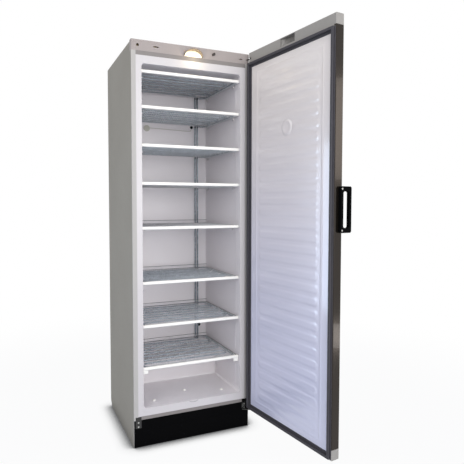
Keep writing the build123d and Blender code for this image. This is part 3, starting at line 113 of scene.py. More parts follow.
class Finish(Tree):
    """A material: one shader with what varies over the surface worked out in nodes."""

    def __init__(self, name, colour, roughness, metallic=0.0, coat=0.0):
        material = bpy.data.materials.new(name)
        material.use_nodes = True
        super().__init__(material.node_tree)
        self.tree.nodes.clear()
        self.material = material
        self.colour = colour
        self.place = self.node("ShaderNodeTexCoord").outputs["Object"]
        self.shader = self.node("ShaderNodeBsdfPrincipled", (), {
            "Base Color": colour, "Roughness": roughness, "Metallic": metallic, "Coat Weight": coat})
        output = self.node("ShaderNodeOutputMaterial")
        self.tree.links.new(self.shader.outputs[0], output.inputs[0])
        self.normal = None

    def noise(self, size, detail=2.0, stretch=(1, 1, 1)):
        """Smooth random values, with patches of about this size in metres."""
        place = self.node("ShaderNodeMapping", (), {"Vector": self.place, "Scale": stretch})
        return Value(self.node("ShaderNodeTexNoise", (), {
            "Vector": place.outputs[0], "Scale": 1 / size, "Detail": detail}).outputs["Fac"])

    def cells(self, size):
        """Distances within random cells of about this size."""
        return Value(self.node("ShaderNodeTexVoronoi", (), {
            "Vector": self.place, "Scale": 1 / size}).outputs["Distance"])

    def place_on(self, axis):
        """A point's place along an axis, Z being its height above the floor."""
        return Value(self.node("ShaderNodeSeparateXYZ", (), {0: self.place}).outputs[axis])

    def step(self, value, low, high):
        """0 below low, 1 above high, smooth between."""
        return Value(self.node("ShaderNodeMapRange", {"interpolation_type": "SMOOTHSTEP"}, {
            "Value": value, "From Min": low, "From Max": high}).outputs[0])

    def mix(self, factor, first, second):
        """A colour between two, by a factor."""
        return self.node("ShaderNodeMix", {"data_type": "RGBA"}, {
            0: factor, 6: first, 7: second}).outputs[2]

    def tint(self, factor, second):
        """Turns the colour so far towards another one."""
        self.colour = self.mix(factor, self.colour, second)
        feed(self.shader.inputs["Base Color"], self.colour)
        return self

    def vary(self, socket, value):
        """Lets a value or a colour drive one of the shader's sockets."""
        feed(self.shader.inputs[socket], value)
        return self

    def bump(self, height, depth, strength=1.0):
        """Raises the surface by a height field, depth in metres."""
        inputs = {"Height": height, "Distance": depth, "Strength": strength}
        if self.normal is not None:
            inputs["Normal"] = self.normal
        self.normal = self.node("ShaderNodeBump", (), inputs).outputs[0]
        feed(self.shader.inputs["Normal"], self.normal)
        return self


def tone(red, green, blue):
    """A screen colour, 0 to 255, as the light that it stands for, by the sRGB curve."""
    return tuple(
        c / 255 / 12.92 if c <= 10 else ((c / 255 + 0.055) / 1.055) ** 2.4
        for c in (red, green, blue))


def shade(colour, factor):
    """A colour made darker or lighter."""
    return tuple(c * factor for c in colour)


# ---------------------------------------------------------------- finishes


def enamel(name, colour, roughness, metallic=0.0, coat=0.0, peel=0.0025, wave=0.25):
    """Sprayed and baked paint on sheet: orange peel, a slow waviness and a little dust."""
    finish = Finish(name, colour, roughness, metallic, coat)
    patches = finish.noise(wave, 3.0)
    fine = finish.noise(0.018, 4.0)
    finish.tint(patches * 0.35 + fine * 0.1, shade(colour, 0.9))
    finish.vary("Roughness", roughness + (patches - 0.5) * 0.12 + (fine - 0.5) * 0.08)
    finish.bump(finish.noise(wave, 1.0), 0.0012)
    return finish.bump(finish.noise(peel, 1.0), 0.00004)


def moulding(name, colour, roughness, grain=0.0012, depth=0.00005):
    """Moulded plastic: an eroded grain, flow shading and faint smears."""
    finish = Finish(name, colour, roughness)
    flow = finish.noise(0.09, 3.0)
    smears = finish.noise(0.03, 5.0, (1, 1, 0.4))
    finish.tint(flow * 0.3 + smears * 0.12, shade(colour, 0.91))
    finish.vary("Roughness", roughness + (smears - 0.5) * 0.14)
    return finish.bump(finish.cells(grain), depth)


def vacuum_sheet(name, colour, roughness):
    """Vacuum-formed white sheet: glossy, slightly wavy, duller where it was drawn out."""
    finish = Finish(name, colour, roughness)
    drawn = finish.noise(0.16, 2.0)
    fine = finish.noise(0.012, 4.0)
    finish.tint(drawn * 0.3 + fine * 0.06, shade(colour, 0.93))
    finish.vary("Roughness", roughness + (drawn - 0.5) * 0.16 + (fine - 0.5) * 0.06)
    finish.bump(drawn, 0.0015)
    return finish.bump(finish.noise(0.004, 2.0), 0.00006)


def bright_steel(name, colour, roughness, along=(1, 1, 12)):
    """Plated steel: drawn streaks and small dull blooms."""
    finish = Finish(name, colour, roughness, metallic=1.0)
    streaks = finish.noise(0.0016, 3.0, along)
    bloom = finish.step(finish.noise(0.01, 4.0), 0.5, 0.75)
    finish.tint(bloom * 0.5, shade(colour, 0.7))
    finish.vary("Roughness", roughness + streaks * 0.12 + bloom * 0.2)
    return finish.bump(streaks, 0.00003)


def rubber(name, colour, roughness):
    """Soft seal rubber: matt, with a dusty bloom in its folds."""
    finish = Finish(name, colour, roughness)
    bloom = finish.noise(0.02, 5.0)
    finish.tint(finish.step(bloom, 0.45, 0.8) * 0.35, shade(colour, 1.8))
    finish.vary("Roughness", roughness + (bloom - 0.5) * 0.2)
    return finish.bump(finish.noise(0.0009, 3.0), 0.00005)


def insulation(name, colour):
    """Foamed polyurethane: open cells and a skin that is darker in places."""
    finish = Finish(name, colour, 0.85)
    cells = finish.cells(0.004)
    skin = finish.noise(0.06, 4.0)
    finish.tint(skin * 0.6, tone(205, 170, 105))
    return finish.bump(cells, 0.0012).bump(finish.noise(0.03, 3.0), 0.003)


def coated_tube(name, colour, roughness):
    """Tube and wire under a thick dip coat, with runs and thin spots."""
    finish = Finish(name, colour, roughness, metallic=0.35)
    runs = finish.noise(0.02, 4.0)
    thin = finish.step(finish.noise(0.05, 5.0), 0.55, 0.75)
    finish.tint(runs * 0.4, shade(colour, 0.7)).tint(thin * 0.35, shade(colour, 1.5))
    finish.vary("Roughness", roughness + (runs - 0.5) * 0.25)
    return finish.bump(runs, 0.0004).bump(finish.noise(0.0016, 2.0), 0.00005)


GREY_PAINT = tone(154, 149, 138)
FOOT_SHADE_TOP = 0.12
FOOT_SHADE_BOTTOM = 0.02
FLANGE_SIDE = 0.006
FLANGE_FACE = 0.002

side_paint = enamel("side_paint", GREY_PAINT, roughness=0.5)
# Painted shade: the side panels turn darker over the last few centimetres above the floor.
above_floor = side_paint.place_on("Z") + side_paint.noise(0.03, 5.0) * 0.08
painted_foot_shade = side_paint.step(above_floor, FOOT_SHADE_TOP, FOOT_SHADE_BOTTOM)
side_paint.tint(painted_foot_shade * 0.35, shade(GREY_PAINT, 0.6))
# Painted light: the front return flange and the panels' front edge are turned lighter, as if lit from the
# front.
painted_flange_light = side_paint.step(side_paint.place_on("Y"), FLANGE_SIDE, FLANGE_FACE)
side_paint.tint(painted_flange_light * 0.6, tone(205, 202, 200))
side_paint.shader.inputs["Specular IOR Level"].default_value = 0.15
grey_strip = enamel("grey_strip", tone(134, 128, 125), roughness=0.5)
fascia_plastic = moulding("fascia_plastic", tone(164, 154, 150), roughness=0.5)
liner_plastic = vacuum_sheet("liner_plastic", tone(232, 227, 229), roughness=0.38)
white_trim = vacuum_sheet("white_trim", tone(209, 204, 204), roughness=0.32)
shelf_white = vacuum_sheet("shelf_white", tone(254, 251, 244), roughness=0.32)

DOOR_LIGHT_TINT_TOP = 1.8
DOOR_LIGHT_TINT_FOOT = 0.3

door_white = vacuum_sheet("door_white", tone(236, 228, 224), roughness=0.34)
# Painted light: the door's panel turns bluish towards its foot, for cool light bounced up from below, and
# keeps a warm tone at the top.
painted_cool_light = door_white.step(door_white.place_on("Z"), DOOR_LIGHT_TINT_TOP, DOOR_LIGHT_TINT_FOOT)
door_white.tint(painted_cool_light, tone(218, 219, 240))
door_white.shader.inputs["Coat Weight"].default_value = 1.0
door_white.shader.inputs["Coat Roughness"].default_value = 0.12

hood_plastic = moulding("hood_plastic", tone(128, 114, 102), roughness=0.45)
black_plastic = moulding("black_plastic", tone(6, 6, 7), roughness=0.7)
black_plastic.shader.inputs["Specular IOR Level"].default_value = 0.03
socket_plastic = moulding("socket_plastic", tone(222, 220, 214), roughness=0.45)
switch_plastic = moulding("switch_plastic", tone(46, 38, 34), roughness=0.35)
sensor_plastic = moulding("sensor_plastic", tone(190, 188, 176), roughness=0.5)
cap_plastic = moulding("cap_plastic", tone(156, 152, 147), roughness=0.44)
roller_plastic = moulding("roller_plastic", tone(160, 160, 158), roughness=0.5)
foot_plastic = moulding("foot_plastic", tone(28, 28, 29), roughness=0.5)
gasket_rubber = rubber("gasket_rubber", tone(56, 54, 60), roughness=0.7)
mount_rubber = rubber("mount_rubber", tone(34, 34, 35), roughness=0.8)
bare_steel = bright_steel("bare_steel", tone(180, 180, 178), roughness=0.28)
# Painted shade: the hinge pins are a dark steel, for the dark gap round the upper hinge.
oiled_steel = bright_steel("oiled_steel", tone(60, 58, 56), roughness=0.5)
recess_steel = bright_steel("recess_steel", tone(128, 126, 124), roughness=0.5)
zinc_steel = bright_steel("zinc_steel", tone(176, 176, 175), roughness=0.4)
foam = insulation("foam", tone(225, 200, 140))
# The shelves' wires, rims and bars share the tubes' dip coat but take this much darker copy of it: painted
# shade, which leaves the tubes standing out lighter.
evaporator_paint = coated_tube("evaporator_paint", tone(38, 43, 47), roughness=0.4)
tube_coat = coated_tube("tube_coat", tone(154, 164, 172), roughness=0.26)
compressor_paint = enamel("compressor_paint", tone(18, 18, 19), roughness=0.32, peel=0.004)
bracket_paint = enamel("bracket_paint", tone(10, 10, 11), roughness=0.22, coat=0.4, peel=0.003)
door_paint = enamel("door_paint", tone(50, 44, 39), roughness=0.17, metallic=0.8, coat=0.2, wave=0.4)

LENS_DIM_TOP = 1.860
LENS_LIT_FOOT = 1.836

diffuser = moulding("diffuser", tone(250, 238, 205), roughness=0.5)
glow = diffuser.step(diffuser.place_on("Z"), LENS_DIM_TOP, LENS_LIT_FOOT)
diffuser.vary("Emission Color", diffuser.mix(glow, tone(176, 156, 124), tone(255, 249, 230)))
diffuser.shader.inputs["Emission Strength"].default_value = 0.9
bulb = moulding("bulb", tone(255, 245, 220), roughness=0.4)
bulb.vary("Emission Color", bulb.mix(bulb.noise(0.01), tone(255, 226, 150), tone(255, 245, 205)))
bulb.shader.inputs["Emission Strength"].default_value = 4.0

FINISHES = {
    "side_paint": side_paint, "foam": foam, "liner_plastic": liner_plastic, "white_trim": white_trim,
    "grey_strip": grey_strip, "black_plastic": black_plastic, "fascia_plastic": fascia_plastic,
    "diffuser": diffuser, "bulb": bulb, "socket_plastic": socket_plastic,
    "switch_plastic": switch_plastic, "evaporator_paint": evaporator_paint,
    "sensor_plastic": sensor_plastic, "bare_steel": bare_steel, "zinc_steel": zinc_steel,
    "door_paint": door_paint, "gasket_rubber": gasket_rubber, "cap_plastic": cap_plastic,
    "compressor_paint": compressor_paint, "mount_rubber": mount_rubber,
    "roller_plastic": roller_plastic, "foot_plastic": foot_plastic, "bracket_paint": bracket_paint,
}

slot_of = {part["node"]: part["material_slot"] for part in frame["record"]["subparts"]}
body_of = {
    name: body
    for body, names in frame["record"]["behaviour"]["bodies"].items() for name in names}

for name, solid in nodes.items():
    solid.data.materials.clear()
    solid.data.materials.append(FINISHES[slot_of[name]].material)

# ---------------------------------------------------------------- making pieces


def set_piece(name, mesh, body, slot, *stands_for):
    """Puts a finished mesh in the scene as a piece of its own on a body."""
    if not mesh.materials:
        mesh.materials.append(FINISHES[slot].material)
    piece = bpy.data.objects.new(name, mesh)
    bpy.context.scene.collection.objects.link(piece)
    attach(piece, body)
    if stands_for:
        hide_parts(*stands_for)
    return piece


def worked_mesh(mesh, modify):
    """The plain mesh that is left when a shape has been through its modifiers."""
    blank = bpy.data.objects.new("blank", mesh)
    bpy.context.scene.collection.objects.link(blank)
    modify(blank)
    seen = blank.evaluated_get(bpy.context.evaluated_depsgraph_get())
    made = bpy.data.meshes.new_from_object(seen, depsgraph=bpy.context.evaluated_depsgraph_get())
    bpy.data.objects.remove(blank)
    return made


def joined(*meshes):
    """Several meshes as one, each in its own paint or else in the first one's."""
    form = bmesh.new()
    paints = []
    for mesh in meshes:
        paint = (mesh.materials or meshes[0].materials)[0]
        if paint not in paints:
            paints.append(paint)
        count = len(form.faces)
        form.from_mesh(mesh)
        form.faces.ensure_lookup_table()
        for face in form.faces[count:]:
            face.material_index = paints.index(paint)
    whole = bpy.data.meshes.new("joined")
    form.to_mesh(whole)
    form.free()
    for paint in paints:
        whole.materials.append(paint)
    for face in whole.polygons:
        face.use_smooth = True
    whole.set_sharp_from_angle(angle=math.radians(40))
    return whole


def shaped(points, faces, smooth=40.0):
    """A mesh from points in metres and faces, smooth except at sharp edges, normals outward."""
    mesh = bpy.data.meshes.new("shaped")
    mesh.from_pydata(points, [], faces)
    form = bmesh.new()
    form.from_mesh(mesh)
    bmesh.ops.remove_doubles(form, verts=form.verts, dist=1e-6)
    bmesh.ops.recalc_face_normals(form, faces=form.faces)
    form.to_mesh(mesh)
    form.free()
    for face in mesh.polygons:
        face.use_smooth = True
    mesh.set_sharp_from_angle(angle=math.radians(smooth))
    return mesh


# ---------------------------------------------------------------- geometry trees


def geometry_tree(name, **inputs):
    """A geometry tree with a path that comes in and named sizes; ends in one painted piece."""
    tree = bpy.data.node_groups.new(name, "GeometryNodeTree")
    tree.interface.new_socket("Path", in_out="INPUT", socket_type="NodeSocketGeometry")
    for label, kind in inputs.items():
        tree.interface.new_socket(label, in_out="INPUT", socket_type="NodeSocket" + kind)
    tree.interface.new_socket("Paint", in_out="INPUT", socket_type="NodeSocketMaterial")
    tree.interface.new_socket("Piece", in_out="OUTPUT", socket_type="NodeSocketGeometry")
    made = Tree(tree)
    return made, made.node("NodeGroupInput").outputs


def end_tree(made, given, shape):
    """Realizes a tree's instances, paints the result and hands it out."""
    real = made.node("GeometryNodeRealizeInstances", (), {0: shape})
    smooth = made.node("GeometryNodeSetShadeSmooth", (), {0: real.outputs[0]})
    painted = made.node("GeometryNodeSetMaterial", (), {0: smooth.outputs[0], "Material": given["Paint"]})
    made.node("NodeGroupOutput", (), {0: painted.outputs[0]})
    return made.tree


def grown(tree, mesh, paint, **sizes):
    """What a geometry tree makes of a mesh, as a plain mesh."""
    def modify(blank):
        growth = blank.modifiers.new("growth", "NODES")
        growth.node_group = tree
        for item in tree.interface.items_tree:
            if item.name in sizes:
                growth[item.identifier] = sizes[item.name]
            elif item.name == "Paint":
                growth[item.identifier] = paint.material
    return worked_mesh(mesh, modify)


def rod(made, path, radius, sides):
    """A round rod along a curve, in a geometry tree."""
    section = made.node("GeometryNodeCurvePrimitiveCircle", (), {"Radius": radius, "Resolution": sides})
    return made.node("GeometryNodeCurveToMesh", (), {
        "Curve": path, "Profile Curve": section.outputs[0], "Fill Caps": True}).outputs[0]


made, given = geometry_tree("rod_along_path", Radius="Float", Sides="Int")
line = made.node("GeometryNodeMeshToCurve", (), {0: given["Path"]})
rod_along_path = end_tree(made, given, rod(made, line.outputs[0], given["Radius"], given["Sides"]))

made, given = geometry_tree(
    "row_of_wires", First="Vector", Pitch="Vector", Run="Vector", Count="Int", Radius="Float", Sides="Int")
starts = made.node("GeometryNodeMeshLine", {"mode": "OFFSET"}, {
    "Count": given["Count"], "Start Location": given["First"], "Offset": given["Pitch"]})
wire = made.node("GeometryNodeCurvePrimitiveLine", (), {"End": given["Run"]})
wires = made.node("GeometryNodeInstanceOnPoints", (), {
    "Points": starts.outputs[0], "Instance": rod(made, wire.outputs[0], given["Radius"], given["Sides"])})
row_of_wires = end_tree(made, given, wires.outputs[0])


def line_mesh(points, closed=False):
    """A path as a mesh of edges alone, from points in millimetres."""
    mesh = bpy.data.meshes.new("path")
    last = len(points)
    edges = [(i, (i + 1) % last) for i in range(last if closed else last - 1)]
    mesh.from_pydata([tuple(c * MM for c in point) for point in points], edges, [])
    return mesh


def tube(points, radius, paint, sides=12, closed=False):
    """A round tube along a path, in millimetres."""
    return grown(rod_along_path, line_mesh(points, closed), paint, Radius=radius * MM, Sides=sides)


def wire_row(first, pitch, run, count, radius, paint, sides=6):
    """A row of equal wires, in millimetres."""
    return grown(
        row_of_wires, bpy.data.meshes.new("none"), paint, First=[c * MM for c in first],
        Pitch=[c * MM for c in pitch], Run=[c * MM for c in run], Count=count,
        Radius=radius * MM, Sides=sides)


def bend(centre, radius, start, sweep, steps=10):
    """Points round a tube bend in its own plane, angles in degrees."""
    angles = [math.radians(start + sweep * step / steps) for step in range(steps + 1)]
    return [(centre[0] + radius * math.cos(a), centre[1] + radius * math.sin(a)) for a in angles]


def turned(profile, centre, segments=24):
    """A closed shape turned about an upright axis: a list of (radius, height) in millimetres."""
    points, faces = [], []
    for radius, height in profile:
        for step in range(segments):
            a = 2 * math.pi * step / segments
            x, y = centre[0] + radius * math.cos(a), centre[1] + radius * math.sin(a)
            points.append((x * MM, y * MM, height * MM))
    rings = len(profile)
    for ring in range(rings - 1):
        for step in range(segments):
            a, b = ring * segments + step, ring * segments + (step + 1) % segments
            faces.append((a, b, b + segments, a + segments))
    faces.append(tuple(range(segments)))
    faces.append(tuple((rings - 1) * segments + step for step in reversed(range(segments))))
    return shaped(points, faces)


def block(across, deep, high):
    """A plain bar between two places on each axis, in millimetres."""
    (left, right), (foot, head) = across, high
    section = ((left, foot), (right, foot), (right, head), (left, head))
    corners = [(x * MM, y * MM, z * MM) for y in deep for x, z in section]
    return shaped(corners, [
        (0, 1, 2, 3), (7, 6, 5, 4), (0, 4, 5, 1), (1, 5, 6, 2), (2, 6, 7, 3), (3, 7, 4, 0)])


# ---------------------------------------------------------------- evaporator shelves

SHELF_LEVELS = (363.0, 563.0, 768.0, 1026.0, 1234.0, 1410.0, 1585.0, 1746.0)
TUBE_RADIUS = 4.0
RUN_PITCH = 52.0
RUN_FIRST = 38.0
RUNS = 8
SHELF_HALF = 245.0
GRID_FRONT = 15.0
GRID_BACK = 432.0
UPSTAND = 20.0
RISERS = (180.0, 194.0)
RISER_Y = 446.0
CAVITY_BACK = 460.0
SIDE_BAR_WIDTH = 4.0
TUBE_SIDE_GAP = 1.0
TUBE_RETURN_GAP = 6.0

round_bend = RUN_PITCH / 2
coil_half = SHELF_HALF - SIDE_BAR_WIDTH - TUBE_RADIUS - TUBE_SIDE_GAP
left_turn = -coil_half + round_bend
right_turn = coil_half - 2 * TUBE_RADIUS - round_bend - TUBE_RETURN_GAP
last_run = RUN_FIRST + (RUNS - 1) * RUN_PITCH

coil = [(RISERS[0], RISER_Y - TUBE_RADIUS)]
coil += bend((RISERS[0] - round_bend, last_run + round_bend), round_bend, 0, -90)
for run in range(RUNS - 1, 0, -1):
    to_left = (RUNS - 1 - run) % 2 == 0
    turn_x = left_turn if to_left else right_turn
    coil += bend((turn_x, RUN_FIRST + (run - 0.5) * RUN_PITCH), round_bend, 90, 180 if to_left else -180)
coil += bend((coil_half - round_bend, RUN_FIRST + round_bend), round_bend, -90, 90)
coil += bend((coil_half - round_bend, RISER_Y - round_bend), round_bend, 0, 90)
coil += [(RISERS[1] + TUBE_RADIUS, RISER_Y)]

# Tubes, bars and wires keep a little inside the solids that they stand for.
GRID_WIRES = 44
WIRE_RADIUS = 0.75
WIRE_FROM_SIDE = 5.0
WIRE_LEVEL = 4.6
WIRE_END = 1.0
LOWER_WIRE_FRONT = 12.0
RIM_RADIUS = 1.5
RIM_IN = 1.6
RIM_LEVEL = 4.2
HEAD_RADIUS = 0.98
HEAD_LEVEL = UPSTAND + 2.2
SIDE_BAR_FRONT = 25.2
SIDE_BAR_TOP = 3.2
SIDE_BAR_FOOT = -8.4
SOLID_IN = 0.2
TUBE_SKIN = 0.1

first_wire = -SHELF_HALF + WIRE_FROM_SIDE
wire_step = 2 * (SHELF_HALF - WIRE_FROM_SIDE) / (GRID_WIRES - 1)
grid_run = GRID_BACK - GRID_FRONT - 2 * WIRE_END
upstand_y = GRID_BACK - WIRE_END
rim_half = SHELF_HALF - RIM_IN
rim_front = GRID_FRONT + RIM_IN
rim_back = GRID_BACK - RIM_IN
head_half = SHELF_HALF - WIRE_END
for number, level in enumerate(SHELF_LEVELS, start=1):
    # The tube takes the light coat; the wires, rim, upstand, head and side bars take the dark copy of it, as
    # painted shade.
    shelf_tube = tube([(x, y, level) for x, y in coil], TUBE_RADIUS - TUBE_SKIN, tube_coat)
    upper = wire_row(
        (first_wire, GRID_FRONT + WIRE_END, level + WIRE_LEVEL), (wire_step, 0, 0), (0, grid_run, 0),
        GRID_WIRES, WIRE_RADIUS, evaporator_paint)
    lower = wire_row(
        (first_wire + wire_step / 2, GRID_FRONT + LOWER_WIRE_FRONT, level - WIRE_LEVEL),
        (wire_step, 0, 0), (0, grid_run - LOWER_WIRE_FRONT, 0),
        GRID_WIRES - 1, WIRE_RADIUS, evaporator_paint)
    rim_level = level + RIM_LEVEL
    rim = tube([
        (-rim_half, rim_front, rim_level), (rim_half, rim_front, rim_level),
        (rim_half, rim_back, rim_level), (-rim_half, rim_back, rim_level),
    ], RIM_RADIUS, evaporator_paint, sides=8, closed=True)
    upstand = wire_row(
        (first_wire, upstand_y, rim_level), (wire_step, 0, 0), (0, 0, UPSTAND - RIM_IN),
        GRID_WIRES, WIRE_RADIUS, evaporator_paint)
    head_level = level + HEAD_LEVEL
    head = tube(
        [(-head_half, upstand_y, head_level), (head_half, upstand_y, head_level)],
        HEAD_RADIUS, evaporator_paint, sides=8)
    side_bars = [
        block(
            (side * (SHELF_HALF - SOLID_IN), side * (SHELF_HALF - SIDE_BAR_WIDTH + SOLID_IN)),
            (SIDE_BAR_FRONT, GRID_BACK - SOLID_IN), (level + SIDE_BAR_FOOT, level + SIDE_BAR_TOP))
        for side in (-1, 1)]
    shelf = joined(upper, lower, rim, upstand, head, *side_bars, shelf_tube)
    set_piece(f"coil_shelf_{number}", shelf, "cabinet", "evaporator_paint", f"evaporator_shelf_{number}")

# ---------------------------------------------------------------- the cavity's floor

CAVITY_FLOOR = 182.0
STUD_DOME = ((7.6, 0.0), (7.4, 1.4), (6.4, 3.2), (4.4, 4.4), (1.8, 5.0), (0.05, 5.1))
STUD_PLACES = ((0, 137), (-179, 72), (179, 72))
DRAIN_HALF_WIDTH = 23.0
DRAIN_DROP = 9.0
DRAIN_Y = 1.0
DRAIN_SHADOW_RADIUS = 0.8

stud_profile = [(radius, CAVITY_FLOOR + rise) for radius, rise in STUD_DOME]
studs = [turned(stud_profile, place) for place in STUD_PLACES]
# Painted highlight: the domes take the trims' brighter white, lighter than the liner that they stand on.
for stud in studs:
    stud.materials.append(shelf_white.material)
set_piece("floor_stud_domes", joined(*studs), "cabinet", "liner_plastic")

# Painted shade: a thin dark tube traces the drain notch's edge, for the shadow line in the notch.
drain_arc = [math.radians(a) for a in range(0, 181, 12)]
drain_shadow_line = tube(
    [(DRAIN_HALF_WIDTH * math.cos(a), DRAIN_Y, CAVITY_FLOOR - DRAIN_DROP * math.sin(a)) for a in drain_arc],
    DRAIN_SHADOW_RADIUS, evaporator_paint, sides=8)
set_piece("drain_shadow_line", drain_shadow_line, "cabinet", "white_trim")

# ---------------------------------------------------------------- riser tubes

RISER_DROP = 14.0
RISER_BEND = 5.0
RISER_BEND_MIDDLE = 1.5
RISER_SIDES = 16
RISER_RADIUS = 3.95
JOINT_RADIUS = 3.99
JOINT_DROP = 9.0
JOINT_RISE = 3.9

riser_meshes = []
riser_foot = SHELF_LEVELS[0] - RISER_DROP
for riser in RISERS:
    riser_meshes.append(tube([
        (riser, CAVITY_BACK, riser_foot), (riser, RISER_Y + RISER_BEND, riser_foot),
        (riser, RISER_Y + RISER_BEND_MIDDLE, riser_foot + RISER_BEND_MIDDLE),
        (riser, RISER_Y, riser_foot + RISER_BEND), (riser, RISER_Y, SHELF_LEVELS[-1] + TUBE_RADIUS),
    ], RISER_RADIUS, tube_coat, RISER_SIDES))
    for level in SHELF_LEVELS:
        riser_meshes.append(tube(
            [(riser, RISER_Y, level - JOINT_DROP), (riser, RISER_Y, level + JOINT_RISE)],
            JOINT_RADIUS, evaporator_paint, RISER_SIDES))
set_piece("riser_pair", joined(*riser_meshes), "cabinet", "evaporator_paint", "riser_tubes")

# ---------------------------------------------------------------- condenser

CONDENSER_RUNS = 14
CONDENSER_PITCH = 96.0
CONDENSER_BOTTOM = 300.0
CONDENSER_HALF = 230.0
CONDENSER_Y = 526.8
OUTLET_X = 246.0
OUTLET_Z = 140.0
COMPRESSOR_X = 70.0
COMPRESSOR_Y = 442.0
CAN_BOTTOM = 42.0
CAN_HEIGHT = 158.0
CAN_RADIUS = 74.0
DISCHARGE_BEND = 12.0
CONDENSER_WIRES = 33
CONDENSER_TUBE_RADIUS = 2.95
CONDENSER_WIRE_RADIUS = 0.8
CONDENSER_WIRE_OUT = 3.4
DRIER_PROFILE = (
    (3.2, 150), (3.4, 158), (6, 163), (8.9, 169), (8.9, 172), (8.6, 173), (8.9, 174), (8.9, 229),
    (8.6, 230), (8.9, 231), (8.9, 234), (6, 240), (3.4, 244), (3.2, 252))
TAB_HALF_WIDTH = 10.0
TAB_HALF_HEIGHT = 6.0
TAB_FRONT = 518.9
TAB_OUT = 4.2

half_bend = CONDENSER_PITCH / 2
turn_x = CONDENSER_HALF - half_bend
top_run = CONDENSER_BOTTOM + (CONDENSER_RUNS - 1) * CONDENSER_PITCH
discharge_z = CAN_BOTTOM + CAN_HEIGHT / 3

flat = [(OUTLET_X, OUTLET_Z)]
flat += bend((OUTLET_X - half_bend, top_run - half_bend), half_bend, 0, 90)
for run in range(CONDENSER_RUNS - 1, 0, -1):
    to_left = (CONDENSER_RUNS - 1 - run) % 2 == 0
    middle = CONDENSER_BOTTOM + (run - 0.5) * CONDENSER_PITCH
    flat += bend((-turn_x if to_left else turn_x, middle), half_bend, 90, 180 if to_left else -180)
flat += bend((COMPRESSOR_X - half_bend, CONDENSER_BOTTOM - half_bend), half_bend, 90, -90)
flat += [(COMPRESSOR_X, discharge_z + DISCHARGE_BEND)]
loop = [(x, CONDENSER_Y, z) for x, z in flat]
for a in map(math.radians, range(18, 91, 18)):
    loop.append((
        COMPRESSOR_X, CONDENSER_Y + DISCHARGE_BEND * (math.cos(a) - 1),
        discharge_z + DISCHARGE_BEND * (1 - math.sin(a))))
loop += [(COMPRESSOR_X, COMPRESSOR_Y + CAN_RADIUS, discharge_z)]

condenser_step = 2 * turn_x / (CONDENSER_WIRES - 1)
wire_foot = CONDENSER_BOTTOM - half_bend / 2
wire_run = top_run - CONDENSER_BOTTOM + half_bend
condenser_parts = [
    tube(loop, CONDENSER_TUBE_RADIUS, compressor_paint),
    wire_row(
        (-turn_x, CONDENSER_Y + CONDENSER_WIRE_OUT, wire_foot), (condenser_step, 0, 0),
        (0, 0, wire_run), CONDENSER_WIRES, CONDENSER_WIRE_RADIUS, compressor_paint),
    wire_row(
        (-turn_x + condenser_step / 2, CONDENSER_Y - CONDENSER_WIRE_OUT, wire_foot),
        (condenser_step, 0, 0), (0, 0, wire_run),
        CONDENSER_WIRES - 1, CONDENSER_WIRE_RADIUS, compressor_paint),
    turned(DRIER_PROFILE, (OUTLET_X, CONDENSER_Y)),
]
for tab_x in (-turn_x, turn_x):
    for tab_z in (CONDENSER_BOTTOM + half_bend, top_run - half_bend):
        condenser_parts.append(block(
            (tab_x - TAB_HALF_WIDTH, tab_x + TAB_HALF_WIDTH), (TAB_FRONT, CONDENSER_Y + TAB_OUT),
            (tab_z - TAB_HALF_HEIGHT, tab_z + TAB_HALF_HEIGHT)))
set_piece("condenser_coil", joined(*condenser_parts), "cabinet", "compressor_paint", "condenser")

# ---------------------------------------------------------------- door

DOOR_WIDTH = 595.0
DOOR_BOTTOM = 100.0
DOOR_TOP = 1880.0
REST_ANGLE = math.radians(97.3)
PIVOT = Vector((293.5, -22.0, 0.0))
PIVOT_FROM_EDGE = 4.0
PIVOT_FROM_FACE = 7.0

along = Vector((-math.cos(REST_ANGLE), -math.sin(REST_ANGLE), 0.0))
outward = Vector((math.sin(REST_ANGLE), -math.cos(REST_ANGLE), 0.0))
door_corner = PIVOT - along * PIVOT_FROM_EDGE - outward * PIVOT_FROM_FACE


def on_door(across, up, raised):
    """A point on the door's inner face: across from the hinge edge, up, and out of the face."""
    point = door_corner + along * across - outward * raised
    return (point.x * MM, point.y * MM, up * MM)


PANEL_BOTTOM = 118.0
PANEL_TOP = 1817.0
PANEL_IN = 12.0
RIB_PITCH = 52.9
RIB_COUNT = 30
RIB_MIDDLE = 967.5
RIB_FROM = 94.0
RIB_LENGTH = 412.0
RIB_HALF = 22.0
RIB_CREST = 9.0
RIB_RISE = 1.5
BEAD_MIDDLE = 296.0
BEAD_HALF_WIDTH = 228.0
BEAD_HALF_HEIGHT = 808.0
BEAD_CREST = 1.5
BEAD_HALF = 6.0
BEAD_RISE = 1.3
BOSS_RADIUS = 38.0
BOSS_Z = 1478.0
BOSS_SLOPE = 9.0
BOSS_RISE = 3.2
BOSS_CLEARANCE = 6.0
DISH_DEPTH = 1.2
DISH_FLOOR = 12.0
DISH_RIM = 24.0


def eased(value, low, high):
    """0 below low, 1 above high, smooth between."""
    t = min(1.0, max(0.0, (value - low) / (high - low)))
    return t * t * (3 - 2 * t)


